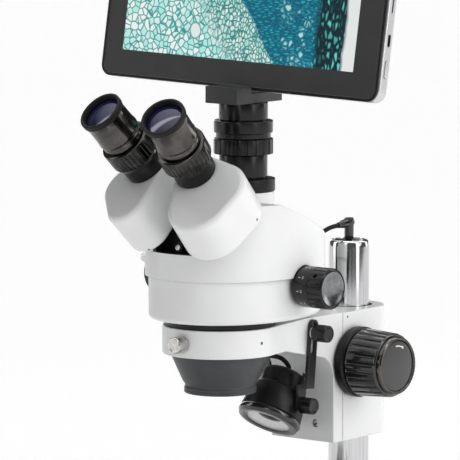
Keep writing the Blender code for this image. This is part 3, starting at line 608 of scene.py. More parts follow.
def build_base():
    """Base casting with its stage seat, pole boss and openings; floor plate with vents and screws."""
    low, high = box_mm("base_housing")
    wall, seat_radius, top = 3.5, 47.8, -1.5
    base = prism(rounded(low, high, 26.0, 24), low.z, top)
    soften(base, 4.0, 6)
    hollow = rounded((low.x + wall, low.y + wall), (high.x - wall, high.y - wall), 22.0, 20)
    cut(base, prism(hollow, low.z - 10.0, top - wall))
    boss = lathe([(0, -48), (24, -48), (24, 8), (0, 8)], WORLD @ POLE_AXIS, corner=2.4)
    join(base, stick(53.0, (0, 0, -14), (0, 0, -3), steps=96), boss)
    cut(base, stick(seat_radius, (0, 0, -5.3), (0, 0, 10), steps=128),
        stick(43.0, (0, 0, -30), (0, 0, 5), steps=96))
    cut(base, stick(15.3, (0, POLE_Y, -60), (0, POLE_Y, 20), steps=64))
    cut(base, *[stick(2.8, (60 * side, 22, -20), (60 * side, 22, 10)) for side in (-1, 1)])
    cut(base, *[stick(3.6, (90 * side, -70, -28), (110 * side, -70, -28)) for side in (-1, 1)])
    cut(base, block((-59, 176, -38), (-41, 190, -22)), stick(5.6, (50, 176, -30), (50, 190, -30)))
    cut(base, *[block((x, 178, -40), (x + 2.2, 190, -20)) for x in range(-16, 20, 6)])
    dress(base, "stand_base", WHITE, "root", "base_housing", weighted=True)

    low, high = box_mm("base_cover")
    plate = prism(rounded(low, high, 21.7, 16), low.z, high.z)
    vents = [block((x, -20, low.z - 2), (x + 3, 20, high.z + 2)) for x in range(-34, 38, 8)]
    screws = [(x, y) for x in (-88, 88) for y in (-60, 35, 130)]
    sink = [(0, -1), (3.4, -1), (3.4, 1.2), (1.6, 1.4), (1.6, 6), (0, 6)]
    sinks = [lathe(sink, at((x, y, low.z)), 32) for x, y in screws]
    cut(plate, *vents, *sinks)
    dress(plate, "floor_plate", NOSE, "root", "base_cover")
    for i, (x, y) in enumerate(screws):
        head = lathe([(0, 0.5), (1.1, 0.5), (1.3, 0.2), (2.9, 0.2), (3.1, 0.5), (3.1, 1.1), (0, 1.1)],
                     at((x, y, low.z)), 32, corner=0.1)
        dress(head, f"floor_screw_{i}", NICKEL, "root")


def build_feet():
    profile = [(0, 0), (11, 0), (11, -3.5), (9.5, -6.2), (7.6, -6.2), (7.0, -5.4), (0, -5.4)]
    for name in ("front_left", "front_right", "rear_left", "rear_right"):
        low, high = box_mm(f"foot_{name}")
        middle = ((low.x + high.x) / 2.0, (low.y + high.y) / 2.0, high.z)
        foot = lathe(profile, at(middle), 64, corner=0.7)
        dress(foot, f"rubber_foot_{name}", RUBBER, "root", f"foot_{name}")


def build_stage():
    """Frosted stage plate over the transmitted light, and that light's emitters."""
    disc = lathe([(0, 0), (47.5, 0), (47.5, -5), (0, -5)], steps=160, corner=0.8)
    dress(disc, "stage_disc", FROST, "root", "stage_plate")
    for i in range(12):
        angle = math.radians(30 * i)
        spot = (26 * math.cos(angle), 26 * math.sin(angle), -23.5)
        chip = lathe([(0, 1.4), (1.2, 1.2), (2.0, 0.4), (2.6, 0.4), (2.6, 0), (0, 0)], at(spot), 24,
                     corner=0.2)
        dress(chip, f"stage_emitter_{i}", PHOSPHOR, "root")


def build_controls():
    """Rocker switch with its marks, power inlet, dimmer dials and specimen clips."""
    where = WORLD @ shift(joint_point("power_rocker")) @ spin(-8, "X")
    side_view = [(-7, -6.6), (3.2, -6.6), (2.2, 0), (4.2, 6.6), (-7, 6.6)]
    rocker = prism(side_view, -8.2, 8.2, "X", where)
    soften(rocker, 0.7, 3)
    dress(rocker, "rocker_switch", GLOSS, "switch", "power_switch")
    bar = block((-0.35, 2.5, -5.0), (0.35, 3.1, -2.4), where)
    ring = lathe([(1.5, 3.5), (1.5, 2.9), (1.1, 2.9), (1.1, 3.5)],
                 where @ shift((0, 0, 3.6)) @ spin(-90, "X"), 32, ring=True, corner=0.05)
    dress(join(bar, ring), "rocker_marks", MARK, "switch")

    low, high = box_mm("power_socket")
    centre = (low + high) / 2.0
    inlet_place = at((centre.x, high.y - 3.0, centre.z), (0, 1, 0))
    profile = [(0, -9), (2.6, -9), (2.6, 2.6), (3, 3), (6, 3), (6.5, 2.5), (6.5, 0.4), (5.3, 0.4),
               (5.3, -12), (0, -12)]
    inlet = lathe(profile, inlet_place, 64, corner=0.2)
    dress(inlet, "power_inlet", BLACK, "root", "power_socket")
    pin = lathe([(0, 1.2), (0.9, 0.8), (0.9, -9.4), (0, -9.4)], inlet_place, 24)
    dress(pin, "inlet_pin", NICKEL, "root")

    for side, word in SIDES:
        where = at(joint_point(f"dimmer_{word}_turn"), (side, 0, 0))
        dial = [(0, 13.4), (8.4, 13.4), (9, 14), (10.5, 14), (12, 12.5), (12, 3), (12, 0.3), (3.2, 0.3),
                (3.2, -10), (0, -10)]
        knob = lathe(dial, where, 144, corner=0.5, radial=flutes(24, 0.7, 1.5, 12.6, 0.4, 11.0))
        dress(knob, f"dimmer_dial_{word}", GRIP, f"dimmer_{word}", f"dimmer_knob_{word}")
        line = block((-0.4, 4.0, 13.35), (0.4, 8.0, 13.5), where)
        dress(line, f"dimmer_line_{word}", MARK, f"dimmer_{word}")
        build_clip(side, word)


def build_clip(side, word):
    """Spring clip: a bent strip with a rounded tip, held by a knurled post."""
    turn = spin(-8 * side, "Z")
    where = WORLD @ shift(joint_point(f"clip_{word}_swing")) @ turn
    spine = [(6, 4.4), (-6, 4.4), (-50, 1.6), (-55, 0.4), (-60, 1.4)]
    strip = prism(spine + [(y, z + 0.6) for y, z in reversed(spine)], -4.0, 4.0, "X", where)
    plan = arc((0, -56), 4.0, 180, 360, 16) + arc((0, 2), 4.0, 0, 180, 16)
    boolean(strip, "INTERSECT", [prism(plan, -3.0, 12.0, "Z", where)])
    soften(strip, 0.12, 2, 50)
    dress(strip, f"clip_spring_{word}", NICKEL, f"clip_{word}")
    post = [(0, 9), (4.5, 9), (4.5, 5.2), (3.2, 5.1), (3.2, 4.2), (4.5, 4.1), (4.5, 0.6), (2.5, 0.6),
            (2.5, -8), (0, -8)]
    knob = lathe(post, where, 96, corner=0.35, radial=flutes(20, 0.3, 5.6, 8.7, 0.5, 4.0))
    dress(knob, f"specimen_clip_{word}", NICKEL, f"clip_{word}", f"stage_clip_{word}")


def build_pole():
    """Polished pole, its cap, the angled plug and the parts the drive slides on."""
    low, high = box_mm("pole")
    top = high.z
    profile = [(12.5, top), (13.2, top), (14.4, top - 1.2), (15, top - 5), (15, low.z), (12.5, low.z)]
    tube = lathe(profile, WORLD @ POLE_AXIS, 160, ring=True, corner=0.5)
    dress(tube, "steel_pole", STEEL, "root", "pole")
    cap = [(2.6, -1.2), (3.6, -0.9), (9.6, -0.9), (10.2, -0.4), (12.2, -0.6), (12.2, -9), (2.6, -9)]
    lid = lathe(cap, WORLD @ POLE_AXIS @ shift((0, 0, top)), 96, ring=True, corner=0.3)
    dress(lid, "pole_top_cap", GLOSS, "root", "pole_cap")

    shank = lathe([(0, -12), (2.3, -12), (2.3, -0.3), (3.5, -0.3), (3.5, 16), (0, 16)],
                  WORLD @ POLE_AXIS @ shift((0, 0, top)), 48, corner=0.6)
    arm = lathe([(0, 13.1), (2.2, 13.1), (2.6, 9), (3.1, 8.4), (3.1, 0), (0, 0)],
                at((0, POLE_Y, 215.2), (0, -13, -1.4)), 48)
    heel = lathe([(0, 0), (3.5, 0), (3.5, 5.2), (0, 5.2)], at((0, POLE_Y + 2.6, 215.2), (0, -1, 0)), 32)
    dress(join(shank, arm, heel), "cable_elbow", GLOSS, "root", "cable_plug")

    low, high = box_mm("pole_bush")
    liner = [(17.2, high.z), (17.2, low.z), (15.3, low.z), (15.3, high.z)]
    sleeve = lathe(liner, WORLD @ POLE_AXIS, 128, ring=True, corner=0.3)
    dress(sleeve, "pole_liner", BLACK, "bush", "pole_bush")


def smooth_path(points, per_span=8):
    """Catmull-Rom curve through the points."""
    points = [Vector(p) for p in points]
    padded = [points[0] * 2 - points[1]] + points + [points[-1] * 2 - points[-2]]
    result = []
    for i in range(1, len(padded) - 2):
        a, b, c, d = padded[i - 1:i + 3]
        for k in range(per_span):
            t = k / per_span
            result.append(0.5 * (2 * b + (c - a) * t + (2 * a - 5 * b + 4 * c - d) * t ** 2
                                 + (3 * b - 3 * c + d - a) * t ** 3))
    return result + [points[-1]]


def build_cable():
    """Lamp cable in stretches along one curved path on the way to the lamp."""
    way = [(0, 136.5, 213.9), (-2, 128, 212.4), (-6, 121, 208), (-14, 114, 199), (-24, 107, 186),
           (-32, 100, 170), (-36, 95, 152), (-36.5, 89, 138), (-35.5, 83, 126), (-31.5, 78.5, 120.5),
           (-18, 75, 121.5), (-9, 74, 121.8), (-3, 75.2, 120), (0, 78.2, 114.4), (0, 75.95, 110.95)]
    per_span = 8
    path = smooth_path(way, per_span)
    stretches = (("root", "bush", 0, 3), ("bush", "block", 3, 5), ("block", "carriage", 5, 9),
                 ("carriage", "lamp_pivot", 9, 11), ("lamp_pivot", "bracket", 11, 12),
                 ("bracket", "lamp", 12, 14))
    for i, (first, second, start, end) in enumerate(stretches):
        part = path[start * per_span:end * per_span + 1]
        cable = sweep(part, 1.7, 20)
        cable.name = f"lamp_cable_{i}"
        cable.data.name = cable.name
        cable.data.materials.append(RUBBER)
        cable.data.shade_smooth()
        cable.data.set_sharp_from_angle(angle=math.radians(60))
        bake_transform(cable)
        if i == 0:
            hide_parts("lamp_cable")


# Focus drive ----------------------------------------------------------------

def build_clamp():
    """Rounded block round the pole, and the lobed knob that clamps it from behind."""
    low, high = box_mm("clamp_block")
    radius, front = 26.3, low.y
    outline = [(high.x, front)] + arc((0, POLE_Y), radius, 4, 176, 96) + [(low.x, front)]
    body = prism(outline, low.z, high.z)
    soften(body, 1.0, 4, 40)
    drive = joint_point("focus_turn")
    cut(body, stick(17.5, (0, POLE_Y, 40), (0, POLE_Y, 170), steps=96),
        block((-6.6, front - 5, 40), (6.6, 112.4, 170)),
        stick(4.9, (-40, drive.y, drive.z), (40, drive.y, drive.z)),
        stick(9.6, (-7.6, drive.y, drive.z), (7.6, drive.y, drive.z)),
        stick(4.3, (0, 160, 106), (0, 190, 106)),
        stick(0.9, (high.x - 2.5, 111, high.z - 3.4), (high.x + 3, 111, high.z - 3.4)))
    dress(body, "pole_block", WHITE, "block", "clamp_block", weighted=True)

    low, high = box_mm("pole_clamp_knob")

    def lobes(angle, radius, height):
        return -1.6 * (0.5 - 0.5 * math.cos(6 * angle)) ** 2 if height > 13 and radius > 12 else 0.0

    profile = [(0, 36.6), (9, 36.6), (10, 38), (14, 38), (16, 36), (16, 14), (9, 10), (9, 9), (4, 9),
               (4, 0), (0, 0)]
    knob = lathe(profile, at((0, low.y, (low.z + high.z) / 2.0), (0, 1, 0)), 144, corner=1.2, radial=lobes)
    dress(knob, "clamp_wheel", GRIP, "pole_knob", "pole_clamp_knob")


def curved_arrow(where, radius, width, start, end, height):
    """Flat curved arrow that runs clockwise from one angle to another, in degrees."""
    count = 16
    outer = arc((0, 0), radius + width / 2, start, end, count)
    inner = arc((0, 0), radius - width / 2, end, start, count)
    tip = arc((0, 0), radius, end - 9, end - 9, 1)[:1]
    barb = arc((0, 0), radius + width * 1.3, end, end, 1)[:1]
    notch = arc((0, 0), radius - width * 1.3, end, end, 1)[:1]
    outline = outer + barb + tip + notch + inner
    return prism(outline, height, height + 0.08, "Z", where)


def build_drive():
    """Ribbed focus wheels with their face rings, and the smooth tension collar."""
    origin = joint_point("focus_turn")
    ribs = flutes(24, 1.0, 40.4, 65.0, 0.3, 20.0)
    shared = [(0, 68.8), (18.6, 68.8), (18.6, 66.4), (22.4, 66.3), (23.6, 64.6), (25, 40)]
    right = shared + [(24, 38.3), (4.8, 38.3), (4.8, 65.5), (0, 65.5)]
    left = shared + [(24.4, 39.2), (26, 37.6), (26, 31), (25, 29.7), (4.8, 29.7), (4.8, 65.5), (0, 65.5)]
    for side, word, profile in ((1, "right", right), (-1, "left", left)):
        where = at(origin, (side, 0, 0))
        wheel = lathe(profile, where, 288, corner=0.5, radial=ribs)
        dress(wheel, f"focus_wheel_{word}", GLOSS, "focus_drive", f"focus_knob_{word}", sharp=40)
        ring = lathe([(21.5, 66.2), (21.5, 68.7), (20.4, 70), (19.5, 70), (18.8, 69), (18.8, 66.2)], where,
                     128, ring=True, corner=0.35)
        dress(ring, f"focus_face_ring_{word}", BARREL, "focus_drive")
    arrow = curved_arrow(at(origin, (1, 0, 0)), 14.6, 0.9, 96, 66, 68.78)
    dress(arrow, "turn_arrow", MARK, "focus_drive")
    collar = [(24.5, 38), (26, 36.5), (26, 31), (25, 29.7), (4.8, 29.7), (4.8, 38)]
    ring = lathe(collar, at(origin, (1, 0, 0)), 144, ring=True, corner=0.5)
    dress(ring, "tension_ring", BLACK, "tension", "tension_collar")


def build_holder():
    """Carriage casting: head ring, arm with a swept underside and the slab that rides on the rack."""
    low, high = box_mm("holder_arm")
    rear, top = high.y, high.z
    ring_low, ring_radius = 134.0, 42.0
    half = box_mm("clamp_block")[1].x
    reach, tangent, taper_end = ring_radius + 1.0, 12.84, 60.0
    side_view = [(-reach, top), (-reach, ring_low), (32, ring_low)] + arc((77.6, 107.6), 16.6, 78, 0, 20)
    side_view += [(94.2, low.z), (rear, low.z), (rear, top)]
    body = prism(side_view, -reach, reach, "X")
    plan = arc((0, 0), ring_radius, 180 - tangent, 360 + tangent, 160)
    plan = [(-half, rear + 5), (-half, taper_end)] + plan + [(half, taper_end), (half, rear + 5)]
    boolean(body, "INTERSECT", [prism(plan, low.z - 5, top + 5)])
    soften(body, 0.9, 4, 45)
    _, y, z = joint_point("lamp_swing")
    cut(body, stick(38.0, (0, 0, ring_low - 20), (0, 0, top + 20), steps=160),
        stick(2.3, (0, -50, 144), (0, -30, 144)), stick(2.3, (20, y, z), (40, y, z)),
        *[stick(3.0, (12 * side, 90, 72), (12 * side, 97.5, 72)) for side in (-1, 1)],
        stick(1.2, (39.0, -3.3, 144.3), (44.0, -3.7, 144.3)))
    dress(body, "carriage_casting", WHITE, "carriage", "holder_arm", weighted=True)
    for side in (-1, 1):
        head = lathe([(0, 0.8), (1.3, 0.8), (1.3, 2.0), (2.2, 2.2), (2.6, 1.8), (2.6, 0), (0, 0)],
                     at((12 * side, 97.4, 72), (0, -1, 0)), 32, corner=0.2)
        dress(head, f"slab_screw_{'left' if side < 0 else 'right'}", NICKEL, "carriage")

    low, high = box_mm("ring_clamp_screw")
    origin = ((low.x + high.x) / 2.0, high.y, (low.z + high.z) / 2.0)
    profile = [(0, 13.1), (4.0, 13.1), (4.4, 13.4), (5.2, 13.4), (6, 12.6), (6, 4.3), (5.2, 3.6), (2, 3.6),
               (2, 0), (0, 0)]
    screw = lathe(profile, at(origin, (0, -1, 0)), 216, corner=0.3,
                  radial=flutes(36, 0.35, 4.6, 12.5, 0.5, 5.3))
    dress(screw, "ring_thumb_screw", NICKEL, "ring_screw", "ring_clamp_screw")


# Lamp -----------------------------------------------------------------------

def build_lamp_bracket():
    """Slotted bar with its step and lower tab, the guide washer and the two knurled knobs."""
    low, high = box_mm("lamp_bracket")
    pin = joint_point("lamp_swing")
    lamp = joint_point("lamp_tilt")
    pin.x = low.x + 7.2
    reach = math.hypot(pin.y - lamp.y, pin.z - lamp.z)
    lean = math.atan2(pin.y - lamp.y, pin.z - lamp.z)
    where = WORLD @ shift(pin) @ Matrix.Rotation(-lean, 4, "X")
    bar = prism(arc((0, 5.0), 4.5, 0, 180, 24) + [(-4.5, -41), (4.5, -41)], 0.0, 2.3, "X", where)
    tab = prism([(4.5, -38.7), (-4.5, -38.7)] + arc((0, -reach), 4.5, 180, 360, 24), -7.2, -5.2, "X", where)
    join(bar, block((-6.0, -4.5, -41.0), (1.0, 4.5, -38.7), where), tab)
    slot = prism(arc((0, 5.2), 2.4, 0, 180, 16) + arc((0, -13.5), 2.4, 180, 360, 16), -3.0, 6.0, "X", where)
    cut(bar, slot, stick(2.3, (-12, 0, -reach), (0, 0, -reach), where))
    soften(bar, 0.35, 3, 50)
    dress(bar, "lamp_arm", DARK, "bracket", "lamp_bracket")
    washer = lathe([(5.5, 3.5), (5.5, 2.6), (2.3, 2.6), (2.3, 3.5)], at(pin, (1, 0, 0)), 64, ring=True,
                   corner=0.15)
    dress(washer, "guide_washer", NICKEL, "lamp_pivot", "lamp_washer")
    upper = [(0, 15.7), (4.2, 15.7), (4.8, 16.3), (5.6, 16.3), (6.3, 15.6), (6.3, 4.4), (5.8, 3.8),
             (2, 3.8), (2, -8), (0, -8)]
    knob = lathe(upper, at(pin, (1, 0, 0)), 192, corner=0.3, radial=flutes(32, 0.35, 4.8, 15.5, 0.5, 5.6))
    dress(knob, "arm_knob_upper", GRIP, "bracket_knob", "lamp_knob_upper")
    low, high = box_mm("lamp_knob_lower")
    base = (high.x - 12.2, lamp.y, lamp.z)
    lower = [(0, 11.7), (3.9, 11.7), (4.4, 12.2), (5.3, 12.2), (6, 11.5), (6, 0.9), (5.5, 0.3), (2, 0.3),
             (2, -4.2), (0, -4.2)]
    knob = lathe(lower, at(base, (1, 0, 0)), 192, corner=0.3, radial=flutes(32, 0.35, 1.2, 11.4, 0.5, 5.3))
    dress(knob, "lamp_knob_grip", GRIP, "lamp_knob", "lamp_knob_lower")


def build_lamp():
    """Two-step lamp head with a cable grommet and a fin, its bezel, reflector and emitter."""
    origin = joint_point("lamp_tilt")
    lean = math.radians(32.7)
    where = at(origin, (0, math.sin(lean), math.cos(lean)))
    shell = [(0, 24), (13.5, 24), (16.5, 21.2), (16.5, 10.2), (19.5, 9.6), (22, -0.3), (23.2, -10.6),
             (20.9, -10.6), (19.8, -0.3), (17.3, 7.6), (14.3, 8.6), (14.3, 21.6), (0, 21.6)]
    housing = lathe(shell, where, 160, corner=1.4)
    cut(housing, stick(2.3, (17, origin.y, origin.z), (26, origin.y, origin.z)))
    dress(housing, "lamp_shell", BLACK, "lamp", "lamp_housing")
    grommet = lathe([(0, 26.6), (2.6, 26.6), (3.2, 25.4), (4.8, 24.9), (5.2, 24.2), (5.2, 23.8), (0, 23.8)],
                    where, 48, corner=0.3)
    dress(grommet, "cable_grommet", RUBBER, "lamp")
    fin = prism([(-18.6, 10.4), (-16.4, 10.8), (-16.0, 25.0), (-16.6, 25.2)], -1.6, 1.6, "Y", where)
    soften(fin, 0.4, 3)
    dress(fin, "lamp_fin", BLACK, "lamp")
    rim = [(23.2, -10.9), (23.8, -12), (23.8, -14), (22.4, -16.6), (17.4, -16.6), (15.8, -16.1),
           (16.2, -15.6), (19, -15.6), (19, -10.9)]
    bezel = lathe(rim, where, 160, ring=True, corner=0.5)
    dress(bezel, "lamp_rim", GLOSS, "lamp", "lamp_bezel")
    bowl = [(0, -7.4), (18.6, -7.4), (18.6, -15.2), (17.6, -15.4), (14, -12.6), (10, -10.2), (5.5, -9.6),
            (0, -9.6)]
    reflector = lathe(bowl, where, 128, corner=1.0)
    # Painted glow: the reflector shines by emission while the lamp's emitter stays dark.
    dress(reflector, "lamp_reflector", LAMP_GLASS, "lamp", "lamp_led")
    emitter = lathe([(0, -13.6), (3.8, -13.2), (6.8, -12.0), (9.4, -11.6), (9.9, -10.8), (9.9, -9.4),
                     (0, -9.4)], where, 64)
    dress(emitter, "lamp_emitter", DARK, "lamp")


# Head -----------------------------------------------------------------------

ROOF_TOP = 245.0
PORT_Y = joint_point("zoom_turn").y
CONVERGENCE = math.radians(6.0)


def build_nose():
    """Black neck ring, grey nose cone with its lower lip, and the two objective barrels."""
    neck = [(40, 159.3), (40, 154.7), (37.7, 154.7), (37.7, 134.0), (30, 134.0), (30, 159.3)]
    dress(lathe(neck, steps=160, ring=True), "neck_ring", BLACK, "head", "neck_flange")
    cone = [(36.3, 133.7), (34.6, 130.1), (27.5, 114.1), (25.6, 111.4), (25.4, 110.6), (25.8, 109.6),
            (26.2, 109.3), (26.2, 107.8), (25.9, 107.6), (25.9, 107.3), (26.2, 107.1), (26.2, 105.6),
            (25.6, 105), (22, 105), (22, 111), (32.5, 133.7)]
    dress(lathe(cone, steps=192, ring=True, corner=0.35), "nose_cone", NOSE, "head", "objective_cone")
    for side, word in SIDES:
        where = at((0, 0, 0), (math.sin(CONVERGENCE) * side, 0, math.cos(CONVERGENCE)))
        barrel = [(0, 152), (9.6, 152), (9.6, 111), (8.2, 111), (7.4, 112.4), (7.4, 113.2), (6.6, 113.4),
                  (0, 114)]
        body = lathe(barrel, where, 96)
        dress(body, f"objective_barrel_{word}", DARK, "head", f"objective_{word}")
        dome = lathe([(0, 111.9), (3.6, 112.2), (6.4, 113.1), (6.6, 113.7), (0, 114.2)], where, 96,
                     corner=0.4)
        dress(dome, f"front_lens_{word}", FRONT_GLASS, "head")


def egg(half_width, front, rear, count=176):
    """Plan outline of the head: a full oval, blunter at the front than at the rear."""
    centre_y, power = 14.0, 2.0 / 2.1
    points = []
    for i in range(count):
        angle = 2.0 * math.pi * i / count
        c, s = math.cos(angle), math.sin(angle)
        reach = rear if s > 0.0 else front
        x = math.copysign(half_width * abs(c) ** power, c)
        points.append((x, centre_y + math.copysign(reach * abs(s) ** power, s)))
    return points


def roof_cutters(inset):
    """Planes of the roof, its rear slope and the two tube mounts, moved inwards by an inset."""
    slope = Vector((0, 0.4, 1)).normalized()
    tools = [half_space((0, 0, ROOF_TOP - inset), (0, 0, 1)),
             half_space(Vector((0, 0, ROOF_TOP)) - slope * inset, slope)]
    for word in ("right", "left"):
        normal = joint_axis(f"eye_spacing_{word}")
        tools.append(half_space(joint_point(f"eye_spacing_{word}") - normal * inset, normal))
    return tools


def build_lower_housing():
    low, high = box_mm("lower_housing")
    body = prism(egg(54.5, 66.5, 73.0), low.z, high.z + 10)
    soften(body, 3.5, 6)
    zoom = joint_point("zoom_turn")
    cut(body, half_space((0, 0, high.z), (0, 0, 1)))
    cut(body, prism(egg(51.5, 63.5, 70.0, 64), low.z + 3, high.z + 20))
    cut(body, stick(28.0, (0, 0, 150), (0, 0, 170), steps=96))
    cut(body, stick(4.9, (-90, zoom.y, zoom.z), (90, zoom.y, zoom.z)))
    dress(body, "head_lower_shell", WHITE, "head", "lower_housing", weighted=True)


def build_upper_housing():
    """Sloped upper shell with a recess at the front, lined by the black mount plate."""
    low = box_mm("upper_housing")[0]
    shelf, notch_half, notch_back = 210.0, 21.0, -36.0
    body = prism(egg(58.0, 68.0, 76.0), low.z - 12, ROOF_TOP + 10)
    cut(body, *roof_cutters(0.0))
    drop_slivers(body, 0.7)
    soften(body, 4.5, 6, 20)
    cut(body, half_space((0, 0, low.z), (0, 0, -1)))
    cut(body, block((-notch_half, -70, shelf), (notch_half, notch_back, ROOF_TOP + 20)))
    hollow = prism(egg(54.5, 64.5, 72.5, 64), low.z - 20, ROOF_TOP + 10)
    cut(hollow, *roof_cutters(3.5))
    cut(body, hollow)
    cut(body, stick(22.9, (0, PORT_Y, 205), (0, PORT_Y, 255), steps=96))
    cut(body, stick(2.9, (-70, -12, 199.5), (-30, -12, 199.5)))
    zoom = joint_point("zoom_turn")
    cut(body, *[stick(15.5, (55.6 * side, zoom.y, zoom.z), (70 * side, zoom.y, zoom.z)) for side in (-1, 1)])
    dress(body, "head_upper_shell", WHITE, "head", "upper_housing", weighted=True)

    plate = prism(egg(57.6, 67.4, 76.0), shelf - 0.6, ROOF_TOP + 10)
    boolean(plate, "INTERSECT", [block((-notch_half + 0.1, -70, shelf - 1),
                                       (notch_half - 0.1, notch_back - 0.1, 260))])
    cut(plate, *roof_cutters(0.2))
    cut(plate, block((-17.5, -70, shelf + 0.4), (17.5, -41, 260)))
    join(plate, stick(3.4, (0, -41.5, 214), (0, -46.6, 214)))
    soften(plate, 0.3, 2)
    dress(plate, "mount_plate", BLACK, "head")
    screw = lathe([(0, 0.7), (0.9, 0.7), (0.9, 1.3), (1.9, 1.2), (2.3, 0.6), (2.3, 0), (0, 0)],
                  at((0, -46.4, 214), (0, -1, 0)), 40, corner=0.2)
    dress(screw, "mount_screw", NICKEL, "head")

    profile = [(0, 10.6), (2.8, 10.6), (3.4, 10.2), (3.6, 9.6), (3.6, 6), (2.5, 5), (2.5, -14), (0, -14)]
    knob = lathe(profile, at((-52.5, -12, 199.5), (-1, 0, 0)), 120, corner=0.25,
                 radial=flutes(24, 0.2, 6.6, 9.8, 0.5, 3.3))
    dress(knob, "path_selector_knob", SILVER, "selector", "light_path_rod", slot="polished_steel")


def digits(text, size, where):
    """Thin raised numeral, centred on the origin of its placement."""
    curve = bpy.data.curves.new("numeral", "FONT")
    curve.body = text
    curve.size = size
    curve.align_x = "CENTER"
    curve.align_y = "CENTER"
    curve.extrude = 0.04
    curve.resolution_u = 3
    drawing = add_object(curve)
    graph = bpy.context.evaluated_depsgraph_get()
    mesh = bpy.data.meshes.new_from_object(drawing.evaluated_get(graph))
    bpy.data.objects.remove(drawing, do_unlink=True)
    mesh.transform(where)
    return add_object(mesh)


def merge(objects):
    """Several meshes as one object, each left as its own island."""
    bm = bmesh.new()
    for obj in objects:
        bm.from_mesh(obj.data)
        bpy.data.objects.remove(obj, do_unlink=True)
    return to_object(bm, outwards=False)


def build_zoom():
    """Zoom dials: fluted outer half, plain inner half with a scale, dished metal face."""
    origin = joint_point("zoom_turn")
    radius, first_mark, mark_step = 14.9, 109, 39
    hole_turn, hole_level = math.radians(138), Vector((0, 0, 75.5))
    flat_on = spin(90, "Y") @ spin(180, "Z")
    profile = [(0, 81.0), (12.7, 81.0), (12.9, 83.2), (13.4, 83.6), (14.9, 82.2), (14.9, 71.4),
               (14.5, 71.0), (14.5, 70.6), (14.9, 70.2), (14.9, 58), (14.0, 55.9), (4.8, 55.9), (4.8, 80.4),
               (0, 80.4)]
    for side, word in SIDES:
        where = at(origin, (side, 0, 0))
        dial = lathe(profile, where, 240, radial=flutes(20, 0.55, 71.6, 82.4, 0.3, 14.0))
        mouth = Vector((math.cos(hole_turn), math.sin(hole_turn), 0))
        cut(dial, stick(1.7, mouth * 12.0 + hole_level, mouth * 17.0 + hole_level, where))
        dress(dial, f"zoom_dial_{word}", GRIP, "zoom", f"zoom_knob_{word}")
        dish = lathe([(0, 81.5), (4, 81.6), (8, 82.0), (11, 82.8), (12.5, 83.4), (12.7, 82.8), (12.7, 80.9),
                      (0, 80.9)], where, 128, corner=0.3)
        dress(dish, f"zoom_dial_face_{word}", DISH, "zoom")
        marks = []
        for i, text in enumerate(("4", "3", "2", "1")):
            face = where @ spin(first_mark + mark_step * i, "Z") @ shift((radius, 0, 0))
            marks.append(block((-0.2, -0.22, 61.6), (0.06, 0.22, 63.4), face))
            marks.append(digits(text, 3.0, face @ shift((0.02, 0, 65.6)) @ flat_on))
        dress(merge(marks), f"zoom_scale_{word}", MARK, "zoom")


# Eyepiece tubes -------------------------------------------------------------

def hull_of_circles(circles, count=144):
    """Outline that wraps circles given as (x, y, radius)."""
    points = []
    for i in range(count):
        angle = 2.0 * math.pi * i / count
        nx, ny = math.cos(angle), math.sin(angle)
        x, y, radius = max(circles, key=lambda c: c[0] * nx + c[1] * ny + c[2])
        points.append((x + radius * nx, y + radius * ny))
    return points


TUBE_LOBES = {
    "right": [(-6.9, 15.1, 17.5), (14.2, 4.5, 24.0), (10.0, -10.0, 24.5)],
    "left": [(1.7, 16.2, 17.5), (-8.0, 0.5, 20.6), (2.0, -17.0, 16.8)],
}
TUBE_SCREWS = {"right": (0.9995, 0.03, 0.0), "left": (0.43, -0.903, 0.0)}


